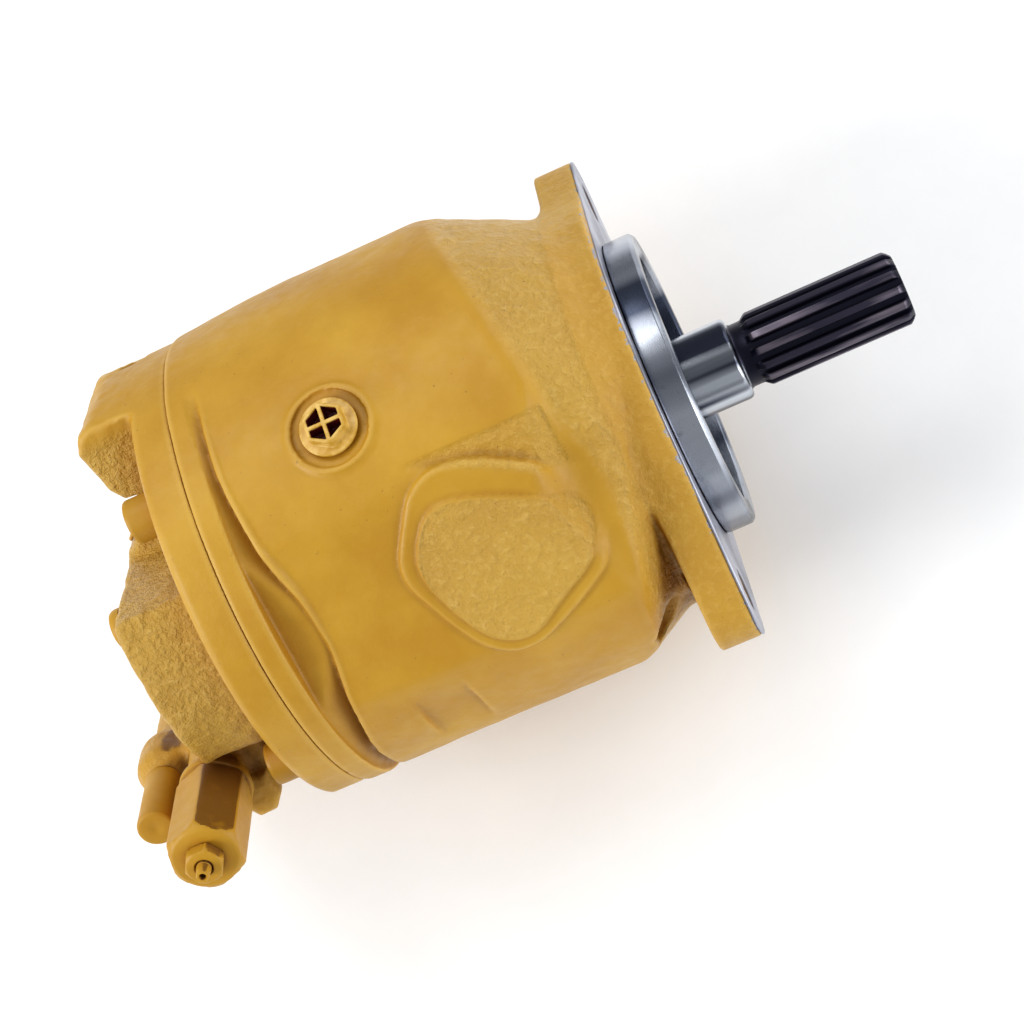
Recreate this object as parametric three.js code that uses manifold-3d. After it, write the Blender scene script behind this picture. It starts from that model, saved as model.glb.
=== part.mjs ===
// Variable-displacement axial piston pump of the swashplate type, in millimetres.
// +X runs along the drive shaft to its splined end, with X = 0 on the mounting flange's face.
// Y runs along the flange ears, and +Z points at the case drain port.
// Most inner parts use a frame turned 45 degrees about X, called the cradle frame:
// there +Z is the swashplate's tilt axis, -Y the control side and +Y the bias-spring side.
import * as THREE from "three";
import * as BufferGeometryUtils from "three/addons/utils/BufferGeometryUtils.js";
import Module from "manifold-3d";

const wasm = await Module();
wasm.setup();

// ---- driving dimensions ---------------------------------------------------------------

const DEG = Math.PI / 180;
const GAP = 0.3;                    // space left between two neighbours that touch
const THROUGH = 1;                  // how far a cutting tool runs past the face it cuts

// mounting interface: two-bolt flange with a round pilot
const FLANGE_THICKNESS = 18;
const EAR_HOLE_Y = 90.5;
const EAR_HOLE_R = 8.75;
const EAR_SPOT_R = 15.5;
const EAR_R = 19.1;
const FLANGE_R = 72;
const PILOT_R = 63.5;
const PILOT_LENGTH = 12.7;
const PILOT_BORE_R = 54;
const RECESS_X = -4;

// drive shaft
const SHAFT_END_X = 102.9;
const SPLINE_START_X = 39;
const SPLINE_R = 15.6;
const SPLINE_ROOT_R = 13.3;
const SPLINE_TEETH = 14;
const SHOULDER_END_X = 32.2;
const SEAL_JOURNAL_R = 17.3;
const NECK_R = 13.4;

// housing and end cover
const JOINT_X = -174.5;
const RIM_R = 99.2;
const RIM_FRONT_X = -164.9;
const CAVITY_R = 84;
const CAVITY_FLOOR_X = -34;
const DISC_REAR_X = -191.2;
const BLOCK_REAR_X = -228;
const COVER_SCREW_CIRCLE_R = 83;

// rotating group
const PIVOT_X = -75;                // the tilt axis and the piston balls' plane
const SWASH_ANGLE = 15 * DEG;       // tilt at full displacement, which is the rest pose
const PISTONS = 9;
const PISTON_CIRCLE_R = 38;
const BALL_CIRCLE_R = 38.66;        // a little larger, to share out the tilted circle's flattening
const PISTON_R = 9;
const BORE_R = 10.1;
const PISTON_LENGTH = 62;
const BALL_R = 6.5;
const BARREL_R = 55;
const BARREL_FRONT_X = -98;
const BARREL_REAR_X = -164.7;
const SLIPPER_FACE = 9;             // from a ball's centre to its slipper's running face
const SLIPPER_R = 12;
const SWASH_HOLE_R = 24;

// cradle, and the pieces that tilt the swashplate
const CRADLE_R = 46;
const CRADLE_INNER = 35;            // the two cradle tracks, along the tilt axis
const CRADLE_OUTER = 52;
const SHELL_THICKNESS = 2.5;
const ARM = 69;                     // from the shaft axis to the control and bias pistons

// control valve, beside the end cover
const VALVE_FACE_Y = -46;
const PRESSURE_X = -233;
const FLOW_X = -259.5;
const SPOOL_Y = -61;
const PRESSURE_TOP_Z = 50;
const FLOW_TOP_Z = 28;
const CAP_START_Z = 55;
const PRESSURE_CAP_END_Z = 101;
const CAP_TURN = 19 * DEG;
const FLOW_CAP_END_Z = 61;

// ---- finishes -------------------------------------------------------------------------

const finish = (color, roughness, metalness) =>
  new THREE.MeshStandardMaterial({ color, roughness, metalness });
const PAINT = finish(0xc99a38, 0.5, 0.1);
const STEEL = finish(0x9aa0a8, 0.3, 0.9);
const GROUND_STEEL = finish(0xb9bec6, 0.2, 1.0);
const BLACK_STEEL = finish(0x231f2a, 0.4, 0.8);
const BRONZE = finish(0xa87b42, 0.4, 0.9);
const IRON = finish(0x5c5f63, 0.5, 0.7);
const SEAL_RUBBER = finish(0x17171a, 0.8, 0.0);
const PLUG_PLASTIC = finish(0x6d0610, 0.5, 0.0);

// ---- making and joining solids --------------------------------------------------------

/** The manifold solid of a closed geometry, whichever way its faces were wound. */
function solid(geometry) {
  const bare = geometry.index ? geometry.toNonIndexed() : geometry.clone();
  bare.deleteAttribute("normal");
  bare.deleteAttribute("uv");
  const merged = BufferGeometryUtils.mergeVertices(bare, 1e-4);
  const corners = merged.index.array;
  const kept = [];
  for (let i = 0; i < corners.length; i += 3) {
    const [a, b, c] = [corners[i], corners[i + 1], corners[i + 2]];
    if (a !== b && b !== c && c !== a) kept.push(a, b, c);
  }
  const points = new Float32Array(merged.attributes.position.array);
  if (signedVolume(points, kept) < 0) kept.reverse();
  const mesh = new wasm.Mesh({ numProp: 3, vertProperties: points, triVerts: new Uint32Array(kept) });
  return new wasm.Manifold(mesh);
}

function signedVolume(points, corners) {
  const [a, b, c] = [new THREE.Vector3(), new THREE.Vector3(), new THREE.Vector3()];
  let total = 0;
  for (let i = 0; i < corners.length; i += 3) {
    a.fromArray(points, 3 * corners[i]);
    b.fromArray(points, 3 * corners[i + 1]);
    c.fromArray(points, 3 * corners[i + 2]);
    total += a.dot(b.cross(c));
  }
  return total;
}

/** A three.js geometry of a manifold solid. */
function geometryOf(body) {
  const mesh = body.getMesh();
  const geometry = new THREE.BufferGeometry();
  geometry.setAttribute("position", new THREE.BufferAttribute(mesh.vertProperties, 3));
  geometry.setIndex(new THREE.BufferAttribute(mesh.triVerts, 1));
  geometry.computeVertexNormals();
  return geometry;
}

const join = (...bodies) => bodies.reduce((whole, body) => whole.add(body));
const cut = (body, ...tools) => tools.reduce((left, tool) => left.subtract(tool), body);

/** A solid of revolution about X from [x, radius] points that start and end on the axis. */
function turned(points, segments = 28) {
  const profile = points.map(([x, r]) => new THREE.Vector2(r, x));
  const geometry = new THREE.LatheGeometry(profile, segments);
  return solid(geometry.rotateZ(-90 * DEG));
}

/** A turned ring: its [x, radius] outline closes on itself, clear of the axis. */
const ring = (points, segments) => turned([...points, points[0]], segments);

/** A round bar along X. */
const barX = (from, to, r, segments = 16) =>
  turned([[from, 0], [from, r], [to, r], [to, 0]], segments);

/** A round bar along Z through (x, y). */
function barZ(x, y, from, to, r, segments = 16) {
  const geometry = new THREE.CylinderGeometry(r, r, to - from, segments);
  geometry.rotateX(90 * DEG);
  return solid(geometry.translate(x, y, (from + to) / 2));
}

/** A round bar along Y through (x, z). */
function barY(x, z, from, to, r, segments = 16) {
  const geometry = new THREE.CylinderGeometry(r, r, to - from, segments);
  return solid(geometry.translate(x, (from + to) / 2, z));
}

/** A box given by its low and high corners. */
function block(low, high) {
  const [x, y, z] = [0, 1, 2].map((axis) => high[axis] - low[axis]);
  const geometry = new THREE.BoxGeometry(x, y, z);
  return solid(geometry.translate(...low.map((value, axis) => (value + high[axis]) / 2)));
}

const outline = (points) => new THREE.Shape(points.map(([x, y]) => new THREE.Vector2(x, y)));

/** A shape drawn in X and Y, raised from one Z to another. */
function raisedZ(shape, from, to, curveSegments = 8) {
  const settings = { depth: to - from, bevelEnabled: false, curveSegments };
  return solid(new THREE.ExtrudeGeometry(shape, settings).translate(0, 0, from));
}

/** A shape drawn in Y and Z, raised from one X to another. */
function raisedX(shape, from, to, curveSegments = 8) {
  const settings = { depth: to - from, bevelEnabled: false, curveSegments };
  const geometry = new THREE.ExtrudeGeometry(shape, settings);
  geometry.applyMatrix4(new THREE.Matrix4().set(0, 0, 1, from, 1, 0, 0, 0, 0, 1, 0, 0, 0, 0, 0, 1));
  return solid(geometry);
}

const STEPS_PER_COIL = 8;

/** A coil spring along X with round wire, between two X positions. */
function coilX(from, to, coilR, wireR, turns, y = 0) {
  const steps = turns * STEPS_PER_COIL;
  const points = [];
  for (let i = 0; i <= steps; i += 1) {
    const angle = (i / STEPS_PER_COIL) * 2 * Math.PI;
    const along = from + wireR + (to - from - 2 * wireR) * (i / steps);
    points.push(new THREE.Vector3(along, y + coilR * Math.cos(angle), coilR * Math.sin(angle)));
  }
  const wire = new THREE.Shape().absarc(0, 0, wireR, 0, 2 * Math.PI);
  const path = new THREE.CatmullRomCurve3(points);
  return solid(new THREE.ExtrudeGeometry(wire, { steps, curveSegments: 2, extrudePath: path }));
}

const hexagon = (acrossFlats) => {
  const r = acrossFlats / 2 / Math.cos(30 * DEG);
  return outline([0, 1, 2, 3, 4, 5].map((i) => [r * Math.cos(i * 60 * DEG), r * Math.sin(i * 60 * DEG)]));
};

/** A copy of a manifold solid moved by a three.js matrix. */
const placed = (body, matrix) => solid(geometryOf(body).applyMatrix4(matrix));
const shifted = (body, x, y, z) => placed(body, new THREE.Matrix4().makeTranslation(x, y, z));
const rolled = (body, angle) => placed(body, new THREE.Matrix4().makeRotationX(angle));

// ---- the assembly ---------------------------------------------------------------------

const pump = new THREE.Group();
const cradleFrame = new THREE.Group();
cradleFrame.rotation.x = 45 * DEG;
pump.add(cradleFrame);

function addMesh(parent, name, body, material) {
  const mesh = new THREE.Mesh(geometryOf(body), material);
  mesh.name = name;
  parent.add(mesh);
  return mesh;
}

// ---- housing --------------------------------------------------------------------------

const HOUSING_SECTION = [
  [JOINT_X, RIM_R], [RIM_FRONT_X, RIM_R], [-163.4, 98], [-153.5, 98], [-149.5, 98.3],
  [-104, 98.6], [-60, 98.4], [-44, 94.5], [-32, 88.5], [-18, 81], [-3, FLANGE_R],
];
const NEAR_SIDE = 135 * DEG;        // the direction of the tilt axis about X, measured from +Y
const UPPER_SIDE = 25 * DEG;
const PANEL_DISTANCE = 92;          // from the shaft axis to the flattened side panels
const GROOVE_R = 89;

const bump = (angle, centre, halfWidth) => {
  const away = Math.abs(Math.atan2(Math.sin(angle - centre), Math.cos(angle - centre)));
  return away >= halfWidth ? 0 : 0.5 + 0.5 * Math.cos((away / halfWidth) * Math.PI);
};

/** How the cast body differs from its turned section: fuller above, waisted and flat-sided. */
function castRadius(x, r, angle) {
  const inBody = x > RIM_FRONT_X + 0.5 && x < -10;
  if (!inBody) return r;
  const swell = bump(angle, UPPER_SIDE, 100 * DEG) * 5 * Math.min(1, (-10 - x) / 45);
  const waisted = x < -153 ? r - (r - GROOVE_R) * Math.min(1, 1.6 * bump(angle, 155 * DEG, 100 * DEG)) : r;
  const full = waisted + swell;
  const offSide = Math.min(Math.abs(Math.cos(angle - NEAR_SIDE)), 1);
  const flat = PANEL_DISTANCE / Math.max(offSide, 0.5);
  return x > -153 && x < -38 ? Math.min(full, flat) : full;
}

function castBody() {
  const points = [[0, 0], ...[...HOUSING_SECTION].reverse(), [JOINT_X, 0]];
  points.splice(1, 0, [0, FLANGE_R]);
  const profile = points.map(([x, r]) => new THREE.Vector2(r, x));
  const geometry = new THREE.LatheGeometry(profile, 48).rotateZ(-90 * DEG);
  const position = geometry.attributes.position;
  for (let i = 0; i < position.count; i += 1) {
    const [x, y, z] = [position.getX(i), position.getY(i), position.getZ(i)];
    const r = Math.hypot(y, z);
    if (r < 1) continue;
    const scale = castRadius(x, r, Math.atan2(z, y)) / r;
    position.setXYZ(i, x, y * scale, z * scale);
  }
  return solid(geometry);
}

/** The flange: a round centre with an ear at each end, joined by straight tangents. */
function flangePlate() {
  const lean = Math.acos((FLANGE_R - EAR_R) / EAR_HOLE_Y);
  const shape = new THREE.Shape();
  shape.absarc(EAR_HOLE_Y, 0, EAR_R, -lean, lean, false);
  shape.absarc(0, 0, FLANGE_R, lean, Math.PI - lean, false);
  shape.absarc(-EAR_HOLE_Y, 0, EAR_R, Math.PI - lean, Math.PI + lean, false);
  shape.absarc(0, 0, FLANGE_R, Math.PI + lean, 2 * Math.PI - lean, false);
  return raisedX(shape, -FLANGE_THICKNESS, 0, 12);
}

/** The pivot seats inside: two blocks on the front wall, hollowed by the cradle's arc. */
function cradleSeats() {
  const seat = (side) => {
    const low = Math.min(side * (CRADLE_INNER - 1), side * (CRADLE_OUTER + 3));
    return block([-47, -38, low], [CAVITY_FLOOR_X + THROUGH, 38, low + CRADLE_OUTER - CRADLE_INNER + 4]);
  };
  return rolled(join(seat(1), seat(-1)), 45 * DEG);
}

const shellRadius = CRADLE_R + GAP + SHELL_THICKNESS + 0.5;
function cradleArcCut() {
  const arc = (side) => {
    const low = side > 0 ? CRADLE_INNER - 0.7 : -CRADLE_OUTER - 0.7;
    return barZ(PIVOT_X, 0, low, low + CRADLE_OUTER - CRADLE_INNER + 1.4, shellRadius, 32);
  };
  return rolled(join(arc(1), arc(-1)), 45 * DEG);
}

// The raised outline on each flat side follows the cradle's trunnion.
const PAD_CENTRE = [-72, 5];
const PAD_OUTLINE = [
  [-113, 10], [-105, 28], [-90, 43], [-70, 46.5], [-50, 37], [-33, 21],
  [-27.5, 5], [-37, -13], [-55, -25], [-78, -34], [-93, -30], [-106, -10],
];
const shrunk = (points, scale) =>
  points.map((point) => point.map((value, axis) => PAD_CENTRE[axis] + (value - PAD_CENTRE[axis]) * scale));

function sidePad(side) {
  const rim = raisedZ(outline(shrunk(PAD_OUTLINE, 0.94)), PANEL_DISTANCE - 14, PANEL_DISTANCE + 1.6);
  const pocket = raisedZ(outline(shrunk(PAD_OUTLINE, 0.8)), PANEL_DISTANCE + 0.4, PANEL_DISTANCE + 4);
  return rolled(cut(rim, pocket), side > 0 ? 45 * DEG : 225 * DEG);
}

const DRAIN_X = -114;
const DRAIN_FACE_Z = 98.5;
const DRAIN_HOLE_R = 9.2;
const DRAIN_SEAT_R = 12.2;
const DRAIN_SEAT_DEPTH = 1.2;
const DRAIN_BOSS_R = 17;
const SPOT_R = 16;
const SCREW_HOLE_R = 6.4;
const COVER_SCREW_ANGLES = [0, 90, 180, 270].map((degrees) => (degrees - 3) * DEG);

/** A copy of a piece on the shaft axis moved out to the circle of cover screws. */
const onCircle = (body, angle) =>
  shifted(body, 0, COVER_SCREW_CIRCLE_R * Math.cos(angle), COVER_SCREW_CIRCLE_R * Math.sin(angle));

/** A hole into the case from one side, with a wider seat for a plug's collar. */
const drainWay = (side) => rolled(join(
  barZ(DRAIN_X, 0, 70, 110, DRAIN_HOLE_R, 24),
  barZ(DRAIN_X, 0, DRAIN_FACE_Z - DRAIN_SEAT_DEPTH, 110, DRAIN_SEAT_R, 32),
  barZ(DRAIN_X, 0, DRAIN_FACE_Z, 120, SPOT_R, 32),
), side > 0 ? 0 : 180 * DEG);

const drainBoss = (side) =>
  rolled(barZ(DRAIN_X, 0, 84, DRAIN_FACE_Z, DRAIN_BOSS_R, 32), side > 0 ? 0 : 180 * DEG);

function makeHousing() {
  const pilot = turned([
    [-1, 0], [-1, PILOT_R], [PILOT_LENGTH - 1, PILOT_R], [PILOT_LENGTH, PILOT_R - 1], [PILOT_LENGTH, 0],
  ], 48);
  const outside = join(castBody(), flangePlate(), pilot, drainBoss(1), drainBoss(-1), sidePad(1));
  const cavity = turned([
    [JOINT_X - THROUGH, 0], [JOINT_X - THROUGH, CAVITY_R], [-62, CAVITY_R], [-46, 80],
    [CAVITY_FLOOR_X, 74], [CAVITY_FLOOR_X, 0],
  ], 28);
  const bearingHub = barX(-44, CAVITY_FLOOR_X + THROUGH, 33.6, 24);
  const bore = turned([
    [-50, 0], [-50, 31.2], [-24, 31.2], [-24, 24], [-16.3, 24], [-16.3, 26.4], [RECESS_X, 26.4],
    [RECESS_X, PILOT_BORE_R], [PILOT_LENGTH + THROUGH, PILOT_BORE_R], [PILOT_LENGTH + THROUGH, 0],
  ], 36);
  const bosses = COVER_SCREW_ANGLES.map((angle) => onCircle(barX(JOINT_X, -150, 10.5, 12), angle));
  const hollow = cut(cavity, bearingHub, cradleSeats(), ...bosses);
  const sides = [1, -1];
  const earHoles = sides.map((side) =>
    shifted(barX(-30, THROUGH, EAR_HOLE_R, 24), 0, side * EAR_HOLE_Y, 0));
  const spotFaces = sides.map((side) =>
    shifted(barX(-27, -FLANGE_THICKNESS, EAR_SPOT_R, 20), 0, side * EAR_HOLE_Y, 0));
  const screwHoles = COVER_SCREW_ANGLES.map((angle) =>
    onCircle(barX(JOINT_X - THROUGH, JOINT_X + 16, SCREW_HOLE_R, 12), angle));
  const shell = cut(outside, hollow, cradleArcCut(), bore);
  return cut(shell, ...earHoles, ...spotFaces, drainWay(1), drainWay(-1), ...screwHoles);
}

addMesh(pump, "housing", makeHousing(), PAINT);

// ---- end cover ------------------------------------------------------------------------

const BLOCK_LOW_Y = -45.5;
const BLOCK_HIGH_Y = 31;
const BLOCK_R = 76.5;                // the block's rounded near and far sides
const SPIGOT_R = 71;
const REAR_CUP_R = 26;
const PORT_FACE_Y = 94.5;
const GAUGE_X = -196;
const GAUGE_Z = -27;
const KIDNEY_R = 38;
const SLANT_LOW = [-225, 34];       // the slanted face between the two blocks, in X and Y
const SLANT_HIGH = [-211, 49];

/** The ring in the cover's face that holds the seal; the seal is the same ring made smaller. */
function jointRing(inset) {
  const [rear, front] = [JOINT_X - 3 + inset, JOINT_X - inset];
  return ring([[rear, 91 + inset], [front, 91 + inset], [front, 94.5 - inset], [rear, 94.5 - inset]], 36);
}

function makeCover() {
  const disc = turned([
    [-170, 0], [-170, SPIGOT_R - 1], [-171, SPIGOT_R], [JOINT_X - 0.1, SPIGOT_R],
    [JOINT_X - 0.1, RIM_R - 0.4], [JOINT_X - 0.8, RIM_R], [-188.5, RIM_R],
    [DISC_REAR_X, 96], [DISC_REAR_X, 0],
  ], 48);
  const rearBlock = block([BLOCK_REAR_X, BLOCK_LOW_Y, -80], [-180, BLOCK_HIGH_Y, 80])
    .intersect(barX(-240, -170, BLOCK_R, 60));
  const portBlock = raisedZ(outline([
    [-180, 60], [-210, 62], [-214, 68], [-218, 86], [-214, 93], [-204, RIM_R], [-180, RIM_R],
  ]), -38, 30).intersect(barX(-240, -170, RIM_R, 60));
  const throat = raisedZ(outline([
    [-180, 20], [-226, 20], [-226, 33], SLANT_LOW, SLANT_HIGH, [-210, 66], [-180, 66],
  ]), -48, 12);
  const seats = COVER_SCREW_ANGLES.map((angle) =>
    rolled(onCircle(barX(-240, DISC_REAR_X, 10.5, 20), angle), -45 * DEG));
  const screwHoles = COVER_SCREW_ANGLES.map((angle) =>
    rolled(onCircle(barX(-200, -160, SCREW_HOLE_R, 12), angle), -45 * DEG));
  const bearingBore = barX(-194, -160, REAR_CUP_R + GAP, 32);
  const ways = [1, -1].map((side) => shifted(barX(-215, -160, 8, 20), 0, 0, side * KIDNEY_R));
  const ports = [
    shifted(barX(-240, -205, PRESSURE_PORT_R, 24), 0, PORT_Y, PRESSURE_PORT_Z),
    shifted(barX(-240, -205, SUCTION_PORT_R, 28), 0, PORT_Y, SUCTION_PORT_Z),
  ];
  const gaugePort = join(
    barY(GAUGE_X, GAUGE_Z, 80, 120, 7, 24),
    barY(GAUGE_X, GAUGE_Z, PORT_FACE_Y, 120, 11.5, 32),
  );
  const guideBores = [shifted(barX(-184, -160, GUIDE_TUBE_R + GAP, 24), 0, ARM, 0),
    shifted(barX(-184, -160, SLEEVE_R + GAP, 24), 0, -ARM, 0)];
  const valveThreads = VALVE_SCREW_Z.map((z) => barY(VALVE_SCREW_X, z, -60, -34, 3.4, 12));
  const body = cut(join(disc, cut(join(rearBlock, portBlock, throat), ...seats)), jointRing(0));
  return cut(body, ...valveThreads, bearingBore, gaugePort, ...ways, ...ports, ...guideBores, ...screwHoles);
}

const PORT_Y = -8;
const PRESSURE_PORT_R = 13;
const PRESSURE_PORT_Z = 36;
const SUCTION_PORT_R = 20;
const SUCTION_PORT_Z = -34;
const GUIDE_TUBE_R = 5.4;
const SLEEVE_R = 10;
const VALVE_SCREW_X = -216;
const VALVE_SCREW_Z = [-26, 28];

/** A socket-head cap screw along X: its head's top at one end and its tip at the other. */
function capScrew(headX, length, r, direction = 1) {
  const headHeight = 2 * r;
  const profile = [
    [0, 0], [0, 1.4 * r], [0.8, 1.5 * r], [headHeight, 1.5 * r], [headHeight, r],
    [headHeight + length - 1, r], [headHeight + length, r - 1], [headHeight + length, 0],
  ];
  const body = turned(profile.map(([x, radius]) => [headX + direction * x, radius]), 12);
  const [low, high] = [headX - direction, headX + direction * headHeight * 0.55].sort((p, q) => p - q);
  return cut(body, raisedX(hexagon(1.66 * r), low, high));
}

addMesh(cradleFrame, "end_cover", makeCover(), PAINT);
COVER_SCREW_ANGLES.forEach((angle, i) => {
  const screw = capScrew(DISC_REAR_X - 12 - GAP, 28, 6);
  addMesh(pump, `cover_screw_${i + 1}`, onCircle(screw, angle), PAINT);
});
addMesh(cradleFrame, "cover_seal", jointRing(GAP), SEAL_RUBBER);

// ---- drive shaft and its bearings -----------------------------------------------------

function makeShaft() {
  const body = turned([
    [-191, 0], [-191, 11.5], [-190, 12.5], [-175, 12.5], [-175, 14], [-168, 14], [-168, SPLINE_R],
    [-46, SPLINE_R], [-46, 16.8], [-23, 16.8], [-23, SEAL_JOURNAL_R],
    [SHOULDER_END_X - 1.6, SEAL_JOURNAL_R],
    [SHOULDER_END_X, SEAL_JOURNAL_R - 1.6], [SHOULDER_END_X, NECK_R], [SPLINE_START_X - 2, NECK_R],
    [SPLINE_START_X + 2, SPLINE_R], [SHAFT_END_X - 2.6, SPLINE_R], [SHAFT_END_X, SPLINE_R - 2.6],
    [SHAFT_END_X, 0],
  ], 28);
  const pitch = 360 / SPLINE_TEETH * DEG;
  const gapShape = (i) => {
    const at = (r, share) => [r * Math.cos((i + share) * pitch), r * Math.sin((i + share) * pitch)];
    return outline([at(SPLINE_ROOT_R, -0.17), at(17, -0.31), at(17, 0.31), at(SPLINE_ROOT_R, 0.17)]);
  };
  const gaps = Array.from({ length: SPLINE_TEETH }, (_, i) =>
    raisedX(gapShape(i), SPLINE_START_X - 1, SHAFT_END_X + THROUGH));
  return cut(body, ...gaps);
}

const taperedCup = (wide, narrow, r, innerWide, innerNarrow) => ring([
  [wide, innerWide], [narrow, innerNarrow], [narrow, r], [wide, r],
], 24);

addMesh(pump, "drive_shaft", makeShaft(), BLACK_STEEL);
addMesh(pump, "front_bearing_cup", taperedCup(-43, -24.3, 30.9, 28, 25.4), GROUND_STEEL);
addMesh(pump, "front_bearing_cone", ring([
  [-44.5, 17.1], [-24.5, 17.1], [-24.5, 21], [-26.5, 25.1], [-42, 27.4], [-44.5, 24],
], 24), STEEL);
addMesh(pump, "rear_bearing_cup", taperedCup(-177, -193.7, REAR_CUP_R, 23.4, 21), GROUND_STEEL);
addMesh(pump, "rear_bearing_cone", ring([
  [-191.5, 12.8], [-176.2, 12.8], [-175.5, 19], [-177.6, 22.9], [-190, 20.8], [-191.5, 17],
], 24), STEEL);
addMesh(pump, "shaft_seal", ring([
  [-16, 17.6], [-14, 18.6], [-9.5, 18.6], [-9.5, 17.6], [-8.5, 17.6], [-8.5, 26], [-16, 26],
], 24), SEAL_RUBBER);
addMesh(pump, "seal_ring", ring([[-8.2, 21.5], [-6.4, 21.5], [-6.4, 26], [-8.2, 26]], 24), STEEL);

// ---- rotating group -------------------------------------------------------------------

const pistonAngle = (i) => (i / PISTONS) * 2 * Math.PI;

function makeBarrel() {
  const body = turned([
    [BARREL_REAR_X, 0], [BARREL_REAR_X, BARREL_R - 2], [BARREL_REAR_X + 2, BARREL_R],
    [BARREL_FRONT_X, BARREL_R], [BARREL_FRONT_X, 0],
  ], 27);
  const middle = turned([
    [BARREL_REAR_X - THROUGH, 0], [BARREL_REAR_X - THROUGH, SPLINE_R + GAP],
    [-130, SPLINE_R + GAP], [-130, 21.5],
    [BARREL_FRONT_X + THROUGH, 21.5], [BARREL_FRONT_X + THROUGH, 0],
  ], 20);
  const bores = [];
  for (let i = 0; i < PISTONS; i += 1) {
    const [y, z] = [PISTON_CIRCLE_R * Math.cos(pistonAngle(i)), PISTON_CIRCLE_R * Math.sin(pistonAngle(i))];
    bores.push(shifted(barX(-150, BARREL_FRONT_X + THROUGH, BORE_R, 12), 0, y, z));
    bores.push(shifted(barX(BARREL_REAR_X - THROUGH, -149, 5.5, 6), 0, y, z));
  }
  return cut(body, middle, ...bores);
}

function makeGuideBall() {
  const r = 21.6;
  const arc = Array.from({ length: 6 }, (_, i) => {
    const angle = (128 - i * 11.5) * DEG;
    return [PIVOT_X + r * Math.cos(angle), r * Math.sin(angle)];
  });
  const nose = [PIVOT_X + 8, 0];
  const ball = turned([[-104, 0], [-104, 20], [-94, 20], ...arc, nose], 24);
  return cut(ball, barX(-110, -60, SPLINE_R + GAP + 0.1, 24));
}

addMesh(cradleFrame, "cylinder_barrel", makeBarrel(), STEEL);
addMesh(cradleFrame, "guide_ball", makeGuideBall(), GROUND_STEEL);
addMesh(cradleFrame, "barrel_spring", coilX(-129.6, -104.4, 18.6, 1.6, 3), STEEL);

// Everything on the swashplate is built square to the shaft and then tilted about the pivot.
const swashGroup = new THREE.Group();
swashGroup.position.x = PIVOT_X;
swashGroup.rotation.z = -SWASH_ANGLE;
cradleFrame.add(swashGroup);

function makeSwashplate() {
  const face = SLIPPER_FACE + GAP;
  const web = 17;
  const disc = ring([[face, SWASH_HOLE_R], [web, SWASH_HOLE_R], [web, 53], [face, 53]], 28);
  const start = Math.acos(face / CRADLE_R);
  const rocker = new THREE.Shape().absarc(0, 0, CRADLE_R, -start, start, false);
  const tracks = [1, -1].map((side) => {
    const low = side > 0 ? CRADLE_INNER : -CRADLE_OUTER;
    return raisedZ(rocker, low, low + CRADLE_OUTER - CRADLE_INNER, 14);
  });
  const lugs = [1, -1].map((side) => {
    const low = side > 0 ? 45 : -77;
    return block([face, low, -9], [web, low + 32, 9]);
  });
  return join(disc, ...tracks, ...lugs);
}

function makeRetainer() {
  const plate = ring([[2.4, 22.6], [5.4, 22.6], [5.4, 50], [2.4, 50]], 27);
  const holes = Array.from({ length: PISTONS }, (_, i) => {
    const hole = shifted(barX(0, 8, 10.7, 10), 0, BALL_CIRCLE_R, 0);
    return rolled(hole, pistonAngle(i));
  });
  return cut(plate, ...holes);
}

/** A slipper about its ball's centre: a foot, and a cup closed around the ball. */
function makeSlipper() {
  const socketR = BALL_R + 0.7;
  const arc = Array.from({ length: 4 }, (_, i) => {
    const angle = (110 - i * 32) * DEG;
    return [socketR * Math.cos(angle), socketR * Math.sin(angle)];
  });
  return ring([
    ...arc, [SLIPPER_FACE, 1.75], [SLIPPER_FACE, SLIPPER_R], [5.8, SLIPPER_R], [5.8, 9.4], [-2.46, 9.4],
  ], 10);
}

/** A piston from its ball's centre back to its open tail. */
function makePiston() {
  const arc = Array.from({ length: 4 }, (_, i) => {
    const angle = (i * 43) * DEG;
    return [BALL_R * Math.cos(angle), BALL_R * Math.sin(angle)];
  });
  return turned([
    ...arc, [-9, 4.2], [-12, PISTON_R],
    [-PISTON_LENGTH, PISTON_R], [-PISTON_LENGTH, 6.5], [-30, 6.5], [-30, 0],
  ], 10);
}

addMesh(swashGroup, "swashplate", makeSwashplate(), GROUND_STEEL);
addMesh(swashGroup, "retaining_plate", makeRetainer(), STEEL);
const slipper = makeSlipper();
const piston = makePiston();
for (let i = 0; i < PISTONS; i += 1) {
  const ball = new THREE.Vector3(0, BALL_CIRCLE_R, 0);
  ball.applyAxisAngle(new THREE.Vector3(1, 0, 0), pistonAngle(i));
  addMesh(swashGroup, `slipper_${i + 1}`, slipper, BRONZE).position.copy(ball);
  ball.applyEuler(swashGroup.rotation).add(swashGroup.position);
  addMesh(cradleFrame, `piston_${i + 1}`, piston, STEEL).position.copy(ball);
}

function makeShell(low) {
  const reach = 38 * DEG;
  const shape = new THREE.Shape();
  shape.absarc(PIVOT_X, 0, CRADLE_R + GAP + SHELL_THICKNESS, -reach, reach, false);
  shape.absarc(PIVOT_X, 0, CRADLE_R + GAP, reach, -reach, true);
  return raisedZ(shape, low + 0.3, low + CRADLE_OUTER - CRADLE_INNER - 0.3, 14);
}

addMesh(cradleFrame, "cradle_bearing_near", makeShell(CRADLE_INNER), BRONZE);
addMesh(cradleFrame, "cradle_bearing_far", makeShell(-CRADLE_OUTER), BRONZE);

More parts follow.
